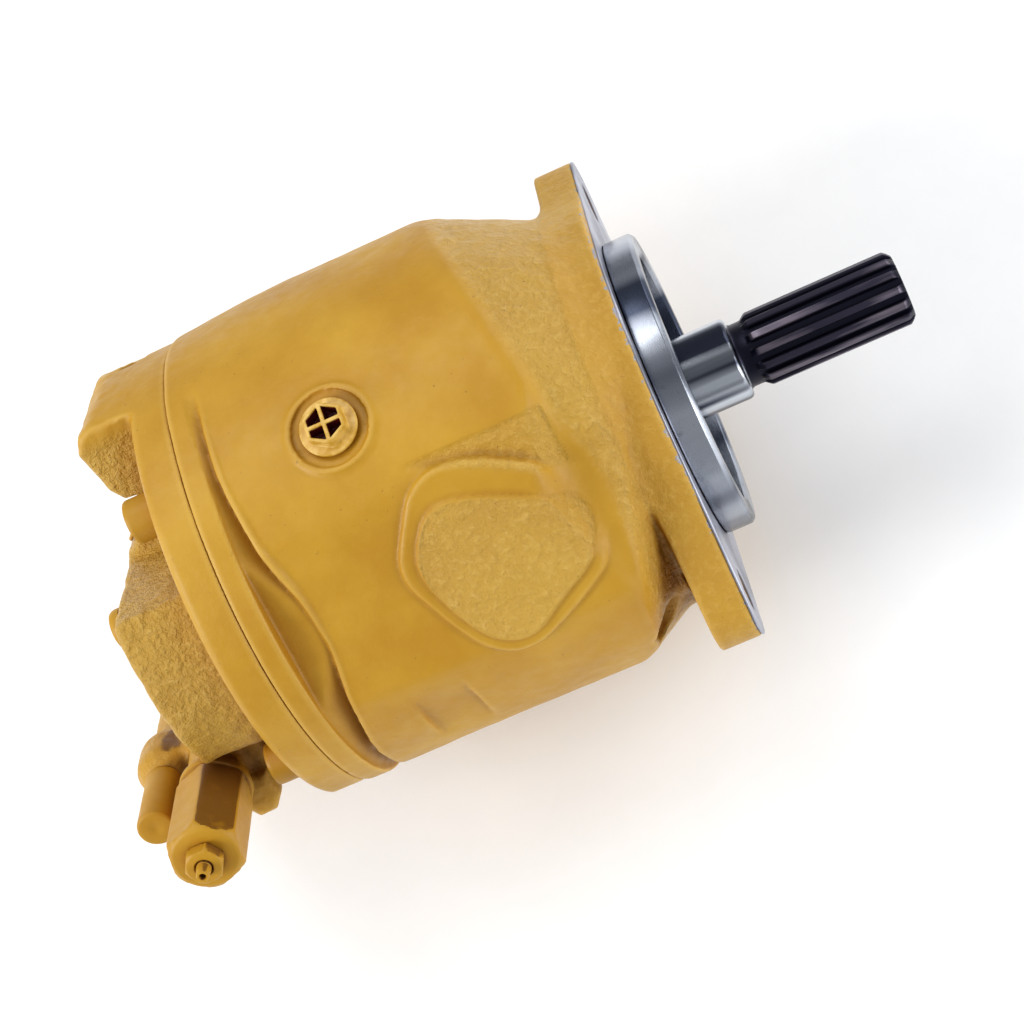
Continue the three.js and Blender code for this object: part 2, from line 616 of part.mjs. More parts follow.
function makeValvePlate() {
  const shape = new THREE.Shape().absarc(0, 0, 51, 0, 2 * Math.PI);
  shape.holes.push(new THREE.Path().absarc(0, 0, 18, 0, 2 * Math.PI));
  [90, 270].forEach((middle) => {
    const [from, to] = [(middle - 62) * DEG, (middle + 62) * DEG];
    const slot = new THREE.Path();
    slot.absarc(0, 0, KIDNEY_R + 5, from, to, false);
    slot.absarc(0, 0, KIDNEY_R - 5, to, from, true);
    shape.holes.push(slot);
  });
  return raisedX(shape, -169.7, -165, 12);
}

addMesh(cradleFrame, "valve_plate", makeValvePlate(), GROUND_STEEL);

// ---- tilting the swashplate: control piston, bias piston and return spring -------------

const CONTROL_TIP_X = -84.9;
const BIAS_TIP_X = -47.6;
const SPRING_SEAT_X = -165;

const controlPiston = turned([
  [-138, 0], [-138, 6], [-137, 7.4], [CONTROL_TIP_X - 5, 7.4],
  [CONTROL_TIP_X - 2, 6], [CONTROL_TIP_X, 3], [CONTROL_TIP_X, 0],
], 20);
const controlSleeve = cut(turned([
  [-183, 0], [-183, SLEEVE_R], [-102, SLEEVE_R], [-102, 0],
], 20), barX(-142, -100, 7.75, 20), barX(-184, -141, 3, 12));
const biasPiston = turned([
  [-142, 0], [-142, 3], [-54.4, 3], [-54.4, 11.3], [-52.4, 11.3], [-50.4, 8],
  [BIAS_TIP_X - 0.6, 4], [BIAS_TIP_X, 1.2], [BIAS_TIP_X, 0],
], 16);
const biasGuide = cut(turned([
  [-183, 0], [-183, GUIDE_TUBE_R], [-169.6, GUIDE_TUBE_R], [-169.6, 11], [SPRING_SEAT_X - 0.3, 11],
  [SPRING_SEAT_X - 0.3, GUIDE_TUBE_R], [-112, GUIDE_TUBE_R], [-112, 0],
], 16), barX(-176, -100, 3.4, 16));

addMesh(cradleFrame, "control_piston", shifted(controlPiston, 0, -ARM, 0), GROUND_STEEL);
addMesh(cradleFrame, "control_sleeve", shifted(controlSleeve, 0, -ARM, 0), STEEL);
addMesh(cradleFrame, "bias_piston", shifted(biasPiston, 0, ARM, 0), GROUND_STEEL);
addMesh(cradleFrame, "bias_guide", shifted(biasGuide, 0, ARM, 0), STEEL);
addMesh(cradleFrame, "return_spring", coilX(SPRING_SEAT_X, -54.8, 8.6, 1.6, 8, ARM), STEEL);

// ---- control valve --------------------------------------------------------------------

const VALVE_BASE_Z = -42;
const SPOOL_BORE_R = 4.6;
const SPRING_ROOM_R = 8;

function makeValveBody() {
  const foot = block([-228, -74, -36], [-208, VALVE_FACE_Y - GAP, 42]);
  const pressureBarrel = barZ(PRESSURE_X, SPOOL_Y, VALVE_BASE_Z, PRESSURE_TOP_Z, 13, 32);
  const flowBarrel = barZ(FLOW_X, SPOOL_Y, VALVE_BASE_Z, FLOW_TOP_Z, 7.5, 28);
  const flowLobe = barZ(FLOW_X, SPOOL_Y, 2, FLOW_TOP_Z, 12.5, 32);
  const lug = raisedZ(outline([
    [-230, -68], [-213, -66], [-212, -78], [-217, -84.5], [-225, -85], [-230, -78],
  ]), 36, 47);
  const web = block([FLOW_X, -70, VALVE_BASE_Z + 4], [PRESSURE_X, -52, FLOW_TOP_Z - 4]);
  const bores = [[PRESSURE_X, PRESSURE_TOP_Z], [FLOW_X, FLOW_TOP_Z]].map(([x, top]) =>
    barZ(x, SPOOL_Y, -36, top + THROUGH, SPOOL_BORE_R, 20));
  const springRoom = barZ(PRESSURE_X, SPOOL_Y, 32, PRESSURE_TOP_Z + THROUGH, SPRING_ROOM_R, 16);
  const screwHoles = VALVE_SCREW_Z.map((z) => barY(VALVE_SCREW_X, z, -80, -40, 3.5, 12));
  const outside = join(foot, pressureBarrel, flowBarrel, flowLobe, lug, web);
  return cut(outside, ...bores, springRoom, ...screwHoles);
}

function makeSpool() {
  const profile = [
    [-34, 0], [-34, 4], [-12, 4], [-12, 2.4], [4, 2.4], [4, 4], [33, 4], [33, 6.2], [36, 6.2], [36, 0],
  ];
  return placed(turned(profile, 10), new THREE.Matrix4().makeRotationY(-90 * DEG));
}

function uprightZ(body, x, y) {
  const stand = new THREE.Matrix4().makeRotationY(-90 * DEG);
  return placed(body, new THREE.Matrix4().makeTranslation(x, y, 0).multiply(stand));
}

function makePressureCap() {
  const collar = barZ(PRESSURE_X, SPOOL_Y, PRESSURE_TOP_Z + GAP, CAP_START_Z, 15.3, 40);
  const sides = raisedZ(hexagon(27), CAP_START_Z - 1, PRESSURE_CAP_END_Z);
  const hex = shifted(placed(sides, new THREE.Matrix4().makeRotationZ(CAP_TURN)), PRESSURE_X, SPOOL_Y, 0);
  const rounding = uprightZ(turned([
    [40, 0], [40, 20], [PRESSURE_CAP_END_Z - 3, 15.4], [PRESSURE_CAP_END_Z, 13], [PRESSURE_CAP_END_Z, 0],
  ], 40), PRESSURE_X, SPOOL_Y);
  const inside = barZ(PRESSURE_X, SPOOL_Y, 40, PRESSURE_CAP_END_Z - 8, SPRING_ROOM_R, 16);
  const thread = barZ(PRESSURE_X, SPOOL_Y, 60, 120, 3.4, 12);
  return cut(join(collar, hex.intersect(rounding)), inside, thread);
}

function makeFlowCap() {
  const cap = uprightZ(turned([
    [FLOW_TOP_Z + GAP, 0], [FLOW_TOP_Z + GAP, 8], [FLOW_CAP_END_Z - 1, 8], [FLOW_CAP_END_Z, 7],
    [FLOW_CAP_END_Z, 0],
  ], 32), FLOW_X, SPOOL_Y);
  return cut(cap, barZ(FLOW_X, SPOOL_Y, FLOW_TOP_Z - 5, FLOW_CAP_END_Z - 3, 6.6, 16));
}

function makeAdjuster() {
  const end = PRESSURE_CAP_END_Z + 13.5;
  const body = uprightZ(turned([
    [78, 0], [78, 7.2], [81, 7.2], [81, 3], [end - 0.8, 3], [end, 2.4], [end, 0],
  ], 12), PRESSURE_X, SPOOL_Y);
  const socket = shifted(raisedZ(hexagon(3), end - 4, end + THROUGH), PRESSURE_X, SPOOL_Y, 0);
  return cut(body, socket);
}

function makeLockNut() {
  const [low, high] = [PRESSURE_CAP_END_Z + GAP, PRESSURE_CAP_END_Z + 6.5];
  const nut = shifted(raisedZ(hexagon(14.5), low, high), PRESSURE_X, SPOOL_Y, 0);
  return cut(nut, barZ(PRESSURE_X, SPOOL_Y, low - 1, high + 1, 3.4, 12));
}

addMesh(cradleFrame, "valve_body", makeValveBody(), PAINT);
addMesh(cradleFrame, "pressure_cap", makePressureCap(), PAINT);
addMesh(cradleFrame, "flow_cap", makeFlowCap(), PAINT);
addMesh(cradleFrame, "adjusting_screw", makeAdjuster(), STEEL);
addMesh(cradleFrame, "lock_nut", makeLockNut(), PAINT);
[["pressure", PRESSURE_X, 77.6, 3], ["flow", FLOW_X, 57.6, 2]].forEach(([name, x, springEnd, coils]) => {
  addMesh(cradleFrame, `${name}_spool`, shifted(makeSpool(), x, SPOOL_Y, 0), GROUND_STEEL);
  addMesh(cradleFrame, `${name}_spring`, uprightZ(coilX(36.4, springEnd, 5, 1, coils), x, SPOOL_Y), STEEL);
});
VALVE_SCREW_Z.forEach((z, i) => {
  const screw = placed(capScrew(-80.6, 38, 3), new THREE.Matrix4().makeRotationZ(90 * DEG));
  addMesh(cradleFrame, `valve_screw_${i + 1}`, shifted(screw, VALVE_SCREW_X, 0, z), STEEL);
});

// ---- plugs and covers -----------------------------------------------------------------

function makeDrainPlug(side) {
  const [low, high] = [80, DRAIN_FACE_Z + 7];
  const stem = barZ(0, 0, low, DRAIN_FACE_Z + 2, DRAIN_HOLE_R - GAP, 24);
  const collar = barZ(0, 0, DRAIN_FACE_Z + GAP, DRAIN_FACE_Z + 2, 11.5, 24);
  const head = raisedZ(hexagon(15.4), DRAIN_FACE_Z + 1, high);
  const recess = cut(raisedZ(hexagon(12.8), DRAIN_FACE_Z - 2, high + 1),
    block([-1, -12, 0], [1, 12, 200]), block([-12, -1, 0], [12, 1, 200]));
  const plug = shifted(cut(join(stem, collar, head), recess), DRAIN_X, 0, 0);
  return side > 0 ? plug : rolled(plug, 180 * DEG);
}

addMesh(pump, "drain_plug", makeDrainPlug(1), PLUG_PLASTIC);
addMesh(pump, "lower_drain_plug", makeDrainPlug(-1), PLUG_PLASTIC);

/** A thin plate on the cover's slanted face, held by one low-headed screw through its middle. */
function makeSlantPlate() {
  const length = Math.hypot(SLANT_HIGH[0] - SLANT_LOW[0], SLANT_HIGH[1] - SLANT_LOW[1]);
  const plate = block([0.6, -6, 0.7], [length - 0.6, 42, 2.4]);
  const head = barZ(length / 2, 18, 2, 4.4, 3.6, 16);
  const onFace = new THREE.Matrix4().makeRotationX(-90 * DEG);
  const lean = Math.atan2(SLANT_HIGH[1] - SLANT_LOW[1], SLANT_HIGH[0] - SLANT_LOW[0]);
  const turn = new THREE.Matrix4().makeRotationZ(lean).multiply(onFace);
  return shifted(placed(join(plate, head), turn), SLANT_LOW[0], SLANT_LOW[1], 0);
}

addMesh(cradleFrame, "slant_plate", makeSlantPlate(), PAINT);
addMesh(cradleFrame, "rear_plug", shifted(turned([
  [BLOCK_REAR_X - 5, 0], [BLOCK_REAR_X - 5, 5], [BLOCK_REAR_X - 3.4, 8.2], [BLOCK_REAR_X - GAP, 8.6],
  [BLOCK_REAR_X - GAP, 0],
], 24), 0, 21, 52), PAINT);

export default pump;
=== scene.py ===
"""The looks of a swashplate axial piston pump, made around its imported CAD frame.

Sizes are in millimetres, in the frame's own axes, and become metres where a mesh is made.
The cradle frame is the same frame turned 45 degrees about X: +CZ is the swashplate's tilt axis.
"""
import math

import bmesh
import bpy
import numpy as np
import openvdb
from mathutils import Matrix, Vector


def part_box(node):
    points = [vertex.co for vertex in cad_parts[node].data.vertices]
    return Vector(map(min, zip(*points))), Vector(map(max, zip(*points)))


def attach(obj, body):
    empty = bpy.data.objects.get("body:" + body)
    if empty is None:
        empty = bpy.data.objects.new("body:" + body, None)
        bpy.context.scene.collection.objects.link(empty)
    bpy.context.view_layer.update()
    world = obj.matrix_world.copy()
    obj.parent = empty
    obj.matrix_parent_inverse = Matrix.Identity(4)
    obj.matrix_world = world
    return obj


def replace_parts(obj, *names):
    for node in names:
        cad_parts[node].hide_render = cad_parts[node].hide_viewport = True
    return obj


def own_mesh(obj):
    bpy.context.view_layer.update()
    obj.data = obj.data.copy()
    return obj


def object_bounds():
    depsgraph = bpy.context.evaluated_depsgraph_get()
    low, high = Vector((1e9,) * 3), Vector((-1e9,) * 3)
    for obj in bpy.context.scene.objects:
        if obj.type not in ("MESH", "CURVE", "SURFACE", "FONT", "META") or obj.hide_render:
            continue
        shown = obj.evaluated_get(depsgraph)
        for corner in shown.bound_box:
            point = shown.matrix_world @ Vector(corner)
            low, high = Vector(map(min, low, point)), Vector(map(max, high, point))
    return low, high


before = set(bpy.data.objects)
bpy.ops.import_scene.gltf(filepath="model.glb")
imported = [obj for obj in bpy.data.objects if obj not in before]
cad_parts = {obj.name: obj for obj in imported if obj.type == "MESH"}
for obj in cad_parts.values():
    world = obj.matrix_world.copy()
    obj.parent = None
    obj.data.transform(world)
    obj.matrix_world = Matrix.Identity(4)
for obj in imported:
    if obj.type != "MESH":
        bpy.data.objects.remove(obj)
cad_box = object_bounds()

MM = 0.001
COS45 = math.sqrt(0.5)
RNG = np.random.default_rng(7)


def node_box(node):
    """A CAD node's low and high corners in millimetres."""
    low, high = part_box(node)
    return np.array(low) / MM, np.array(high) / MM


# ---- sizes read from the frame ----

HOUSING_LOW, HOUSING_HIGH = node_box("housing")
SHAFT_LOW, SHAFT_HIGH = node_box("drive_shaft")
JOINT_X = HOUSING_LOW[0]
PILOT_END_X = HOUSING_HIGH[0]
EAR_END_Y = HOUSING_HIGH[1]
SHAFT_END_X = SHAFT_HIGH[0]
COVER_REAR_X = node_box("end_cover")[0][0]
SEAL_BOX = node_box("shaft_seal")

# ---- sizes of the castings ----

RIM_R = 99.2
RIM_FRONT_X = -164.9
WAIST_START_X = -166.3
FLANGE_THICKNESS = 18.0
EAR_HOLE_Y = 90.5
EAR_HOLE_R = 8.75
EAR_R = EAR_END_Y - EAR_HOLE_Y - 0.1
FLANGE_R = 72.0
PILOT_R = 63.5
PILOT_BORE_R = 54.0
BARE_DEPTH = 0.9                   # the flange face's machined skin
DISC_REAR_X = -191.2
DRAIN_X = -114.0
DRAIN_FACE_Z = 98.5
PLUG_TOP_Z = node_box("drain_plug")[1][2]
PIVOT_X = -75.0
SCREW_CIRCLE_R = 83.0
SCREW_PLACES = [
    (SCREW_CIRCLE_R * math.cos(math.radians(degrees)), SCREW_CIRCLE_R * math.sin(math.radians(degrees)))
    for degrees in (-3, 87, 177, 267)
]
SPOOL_CY = -61.0
PRESSURE_X = -233.0
FLOW_X = -259.5
VOXEL = 1.0
RING_SEGMENTS = 160


# ---- mesh helpers ----

def place_mesh(mesh, material, body):
    """An object with this mesh and material, riding on a body."""
    mesh.materials.append(material)
    obj = bpy.data.objects.new(mesh.name, mesh)
    bpy.context.scene.collection.objects.link(obj)
    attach(obj, body)
    return obj


def make_object(name, points, faces, material, body):
    """A smooth-shaded object from millimetre points and faces."""
    mesh = bpy.data.meshes.new(name)
    mesh.from_pydata([tuple(point) for point in np.asarray(points, float) * MM], [], faces)
    work = bmesh.new()
    work.from_mesh(mesh)
    bmesh.ops.recalc_face_normals(work, faces=work.faces)
    work.to_mesh(mesh)
    work.free()
    mesh.shade_smooth()
    return place_mesh(mesh, material, body)


def crisp(obj, angle=32):
    """Keeps edges steeper than an angle, in degrees, sharp."""
    obj.data.set_sharp_from_angle(angle=math.radians(angle))
    return obj


def stand_in(name, node, points, faces, material, body="housing", angle=32):
    """An object with sharp edges that is shown instead of a CAD node."""
    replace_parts(crisp(make_object(name, points, faces, material, body), angle), node)


def band(near, far):
    """Faces between two rings of vertices, where a ring of one repeated vertex is a point."""
    count = len(near)
    for k in range(count):
        corners = [near[k], near[(k + 1) % count], far[(k + 1) % count], far[k]]
        face = [corner for i, corner in enumerate(corners) if corner not in corners[:i]]
        if len(face) > 2:
            yield face


def turned_piece(name, profile, radius, material):
    """A ring turned about X from a closed outline of (x, r), with its corners rounded."""
    points, faces = shaped(rounded(profile, radius), RING_SEGMENTS)
    return crisp(make_object(name, points, faces, material, "housing"))


def rounded(profile, radius, steps=4):
    """The closed outline with each corner replaced by a small arc, as a machined edge has."""
    count = len(profile)
    result = []
    for i in range(count):
        here, before, after = (np.array(profile[j % count], float) for j in (i, i - 1, i + 1))
        to_before, to_after = before - here, after - here
        reach = min(radius, 0.45 * np.linalg.norm(to_before), 0.45 * np.linalg.norm(to_after))
        start = here + to_before / np.linalg.norm(to_before) * reach
        end = here + to_after / np.linalg.norm(to_after) * reach
        for k in range(steps + 1):
            t = k / steps
            result.append(tuple((1 - t) ** 2 * start + 2 * t * (1 - t) * here + t * t * end))
    return result


def from_cradle(points):
    """Points given in the cradle frame, in the row frame."""
    x, cy, cz = np.asarray(points, float).T
    return np.stack([x, (cy - cz) * COS45, (cy + cz) * COS45], 1)


def upright(points, x, cy):
    """Points of a solid turned about X, stood along the cradle frame's Z at (x, cy)."""
    points = np.asarray(points, float)
    stood = np.stack([x - points[:, 2], cy + points[:, 1], points[:, 0]], 1)
    return from_cradle(stood)


# ---- castings: solids on a grid of distances ----

def eased(share):
    """A share from 0 to 1 that starts and ends gently."""
    return share * share * (3 - 2 * share)


def smooth_min(a, b, blend):
    """The lower of two distances, rounded off where they are within the blend of each other."""
    if blend <= 0:
        return np.minimum(a, b)
    h = np.maximum(blend - np.abs(a - b), 0) / blend
    return np.minimum(a, b) - h * h * (blend / 4)


def smooth_max(a, b, blend):
    return -smooth_min(-a, -b, blend)


def polygon_distance(px, py, corners):
    """The signed distance in a plane from a polygon, negative inside."""
    px, py = np.broadcast_arrays(px, py)
    nearest = np.full(px.shape, 1e9, np.float32)
    inside = np.zeros(px.shape, bool)
    for (x0, y0), (x1, y1) in zip(corners, corners[1:] + corners[:1]):
        ex, ey = x1 - x0, y1 - y0
        t = np.clip(((px - x0) * ex + (py - y0) * ey) / (ex * ex + ey * ey), 0, 1)
        nearest = np.minimum(nearest, (px - x0 - t * ex) ** 2 + (py - y0 - t * ey) ** 2)
        crosses = (y0 > py) != (y1 > py)
        inside ^= crosses & (px < (x1 - x0) * (py - y0) / ((y1 - y0) or 1e-9) + x0)
    distance = np.sqrt(nearest)
    return np.where(inside, -distance, distance).astype(np.float32)


# A rod's direction: the two axes that place it, and the one that it runs along.
ROD_AXES = {
    "x": ("y", "z", "x"), "z": ("x", "y", "z"),
    "cradle_x": ("cy", "cz", "x"), "cy": ("x", "cz", "cy"), "cz": ("x", "cy", "cz"),
}


class Casting:
    """A solid as distances on a grid, negative inside, with blends where its shapes meet."""

    def __init__(self, low, high, voxel=VOXEL, cradle=False):
        self.voxel = voxel
        self.cradle = cradle
        self.low = np.array(low, float)
        counts = [int((high[i] - low[i]) / voxel) + 2 for i in range(3)]
        x, y, z = (low[i] + voxel * np.arange(counts[i], dtype=np.float32) for i in range(3))
        self.x = x.reshape(-1, 1, 1)
        y, z = y.reshape(1, -1, 1), z.reshape(1, 1, -1)
        if cradle:
            self.cy, self.cz = y, z
            self.y, self.z = (y - z) * COS45, (y + z) * COS45
        else:
            self.y, self.z = y, z
            self.cy, self.cz = (y + z) * COS45, (z - y) * COS45
        self.r = np.hypot(self.y, self.z)
        self.angle = np.degrees(np.arctan2(self.z, self.y)) % 360
        self.field = np.full(counts, 50, np.float32)

    def join(self, distance, blend=0):
        """Adds a shape, with a fillet where it meets what is there."""
        self.field = smooth_min(self.field, distance.astype(np.float32), blend)

    def keep(self, distance, blend=0):
        """Keeps only what lies inside a shape."""
        self.field = smooth_max(self.field, distance.astype(np.float32), blend)

    def cut(self, distance, blend=0):
        """Takes a shape away."""
        self.keep(-distance, blend)

    def slab(self, coordinate, start, end):
        """The distance from the space between two values of a coordinate."""
        return np.abs(coordinate - (start + end) / 2) - abs(end - start) / 2

    def rod(self, along, a, b, radius, low, high, rounding=0):
        """A round bar from low to high along an axis, through a point given in the other two."""
        first, second, length = (getattr(self, name) for name in ROD_AXES[along])
        side = np.hypot(first - a, second - b) - radius
        return smooth_max(side, self.slab(length, low, high), rounding)

    def cradle_box(self, low, high, rounding):
        """A box in the cradle frame with rounded edges."""
        half = [(high[i] - low[i]) / 2 - rounding for i in range(3)]
        middle = [(high[i] + low[i]) / 2 for i in range(3)]
        q = [np.abs(c - m) - h for c, m, h in zip((self.x, self.cy, self.cz), middle, half)]
        outside = np.sqrt(np.maximum(q[0], 0) ** 2 + np.maximum(q[1], 0) ** 2 + np.maximum(q[2], 0) ** 2)
        return outside + np.minimum(np.maximum(np.maximum(q[0], q[1]), q[2]), 0) - rounding

    def cradle_prism(self, corners, low, high, rounding):
        """A polygon in X and CY raised along CZ, with rounded edges."""
        flat = polygon_distance(self.x, self.cy, corners)
        return smooth_max(flat, self.slab(self.cz, low, high), rounding)

    def outline_distance(self, corners):
        """The distance from an outline in X and -CY, looked up from a fine table."""
        step, reach = 0.5, 160.0
        places = np.arange(-reach, reach, step)
        table = polygon_distance(self.x[:, :, 0], places[None, :], corners)
        at = (reach - self.cy) / step
        low = np.clip(at.astype(int), 0, len(places) - 2)
        share = at - low
        rows = np.arange(len(table)).reshape(-1, 1, 1)
        return table[rows, low] * (1 - share) + table[rows, low + 1] * share

    def unevenness(self, amount, wavelength, mask=1.0):
        """The slight waviness of a sand-cast skin, where the mask lets it."""
        shape = [max(int(n * self.voxel / wavelength) + 3, 3) for n in self.field.shape]
        lattice = RNG.uniform(-1, 1, shape).astype(np.float32)
        for axis, count in enumerate(self.field.shape):
            at = np.arange(count) * self.voxel / wavelength
            low = at.astype(int)
            share = at - low
            share = eased(share).astype(np.float32)
            share = share.reshape([-1 if i == axis else 1 for i in range(3)])
            lattice = np.take(lattice, low, axis) * (1 - share) + np.take(lattice, low + 1, axis) * share
        self.field += amount * mask * lattice

    def sampled(self, values, places):
        """Values on the grid, read between its points at places given in voxels."""
        values = np.broadcast_to(np.float32(values), self.field.shape)
        low = np.clip(places.astype(int), 0, np.array(self.field.shape) - 2)
        share = np.clip(places - low, 0, 1)
        total = np.zeros(len(places), np.float32)
        for corner in np.ndindex(2, 2, 2):
            weight = np.prod(np.where(corner, share, 1 - share), axis=1)
            total += weight * values[tuple((low + corner).T)]
        return total

    def bend(self, passes=5):
        """How much each place is an edge, above nought, or a hollow, below it, in millimetres."""
        near = np.clip(self.field, -8, 8)
        blurred = near
        for _ in range(passes):
            for axis in range(3):
                blurred = (np.roll(blurred, 1, axis) + 2 * blurred + np.roll(blurred, -1, axis)) / 4
        return blurred - near

    def mesh(self, name, node, material, slot="painted_casting", grit_and_glint=0.0):
        """The surface, shown instead of a CAD node. Grit and glint, which marks the rough skin and its
        painted glints, is an array on the grid, or one number.
        """
        grid = openvdb.FloatGrid(background=3.0)
        grid.copyFromArray(np.clip(self.field / self.voxel, -3, 3))
        points, _, quads = grid.convertToPolygons(isovalue=0.0, adaptivity=0.0)
        layers = {"grit_and_glint": self.sampled(grit_and_glint, points), "bend": self.sampled(self.bend(), points)}
        points = points * self.voxel + self.low
        if self.cradle:
            points = from_cradle(points)
        corners = np.ascontiguousarray(quads[:, ::-1], np.int32)
        mesh = bpy.data.meshes.new(name)
        mesh.vertices.add(len(points))
        mesh.vertices.foreach_set("co", (points * MM).astype(np.float32).ravel())
        mesh.loops.add(corners.size)
        mesh.loops.foreach_set("vertex_index", corners.ravel())
        mesh.polygons.add(len(corners))
        mesh.polygons.foreach_set("loop_start", np.arange(0, corners.size, 4, dtype=np.int32))
        mesh.update(calc_edges=True)
        mesh.validate()
        mesh.shade_smooth()
        for key, values in layers.items():
            layer = mesh.attributes.new(key, "FLOAT", "POINT")
            layer.data.foreach_set("value", np.ascontiguousarray(values, np.float32))
        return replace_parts(place_mesh(mesh, material, "housing"), node)


# ---- materials ----

class Shader:
    """A node tree built a line at a time."""

    def __init__(self, name):
        self.material = bpy.data.materials.new(name)
        self.material.use_nodes = True
        self.tree = self.material.node_tree
        self.bsdf = self.tree.nodes["Principled BSDF"]
        self.place = self.node("ShaderNodeTexCoord").outputs["Object"]

    def node(self, kind, **settings):
        made = self.tree.nodes.new(kind)
        for key, value in settings.items():
            if key in made.inputs:
                made.inputs[key].default_value = value
            else:
                setattr(made, key, value)
        return made

    def axes(self):
        """X, Y and Z of each place, in metres."""
        split = self.node("ShaderNodeSeparateXYZ")
        self.link(self.place, split.inputs[0])
        return tuple(split.outputs)

    def link(self, source, target):
        self.tree.links.new(source, target)

    def noise(self, scale, detail=4.0, roughness=0.55, stretch=None):
        """Noise of the given scale per metre."""
        made = self.node("ShaderNodeTexNoise", Scale=scale, Detail=detail, Roughness=roughness)
        place = self.place
        if stretch:
            mapping = self.node("ShaderNodeMapping")
            mapping.inputs["Scale"].default_value = stretch
            self.link(self.place, mapping.inputs["Vector"])
            place = mapping.outputs["Vector"]
        self.link(place, made.inputs["Vector"])
        return made.outputs["Fac"]

    def ramp(self, source, low, high, dark=0.0, light=1.0):
        """Dark where the source is low, light where it is high, and even between."""
        made = self.node("ShaderNodeMapRange")
        for index, value in enumerate((low, high, dark, light), start=1):
            made.inputs[index].default_value = value
        self.link(source, made.inputs["Value"])
        return made.outputs["Result"]

    def math(self, operation, a, b=0.5):
        made = self.node("ShaderNodeMath", operation=operation)
        for value, socket in zip((a, b), made.inputs):
            if isinstance(value, (int, float)):
                socket.default_value = value
            else:
                self.link(value, socket)
        return made.outputs[0]

    def mix(self, share, a, b):
        """Colour a where the share is 0, and b where it is 1."""
        made = self.node("ShaderNodeMix", data_type="RGBA")
        self.link(share, made.inputs["Factor"])
        for value, socket in ((a, made.inputs[6]), (b, made.inputs[7])):
            if isinstance(value, tuple):
                socket.default_value = (*value, 1)
            else:
                self.link(value, socket)
        return made.outputs[2]

    def hypot(self, a, b):
        squares = (self.math("MULTIPLY", side, side) for side in (a, b))
        return self.math("SQRT", self.math("ADD", *squares))

    def bump(self, height, distance, strength=1.0):
        """One more layer of bumps, up to a distance in millimetres high."""
        made = self.node("ShaderNodeBump", Strength=strength, Distance=distance * MM)
        self.link(height, made.inputs["Height"])
        previous = self.bsdf.inputs["Normal"].links
        if previous:
            self.link(previous[0].from_socket, made.inputs["Normal"])
        self.link(made.outputs["Normal"], self.bsdf.inputs["Normal"])

    def set(self, **values):
        for key, value in values.items():
            socket = self.bsdf.inputs[key.replace("_", " ")]
            if isinstance(value, (int, float, tuple)):
                socket.default_value = value
            else:
                self.link(value, socket)


OCHRE = (0.445, 0.218, 0.006)
OCHRE_LIGHT = (0.530, 0.288, 0.018)
# darker ochre painted as shade in hollows
OCHRE_AO_SHADE = (0.36, 0.140, 0.003)
# pale ochre: the plug's overspray, and painted highlights on edges, crests and rough skin
OCHRE_PALE_AND_HIGHLIGHT = (0.72, 0.46, 0.105)
# darker ochre painted as shade in concave hollows
OCHRE_HOLLOW_SHADE = (0.30, 0.125, 0.003)
# brown: random stain patches, and painted shade in hollows and on flats facing the cover
BROWN_STAIN_AND_SHADE = (0.15, 0.058, 0.007)
SPECK = (0.16, 0.08, 0.015)
BARE_IRON = (0.34, 0.35, 0.40)
RED = (0.15, 0.004, 0.006)
RED_DEEP = (0.07, 0.003, 0.004)
SHADED_FACES = (0.65, 0.537, 0.537)    # the direction of the valve flats that face the cover and get painted shade


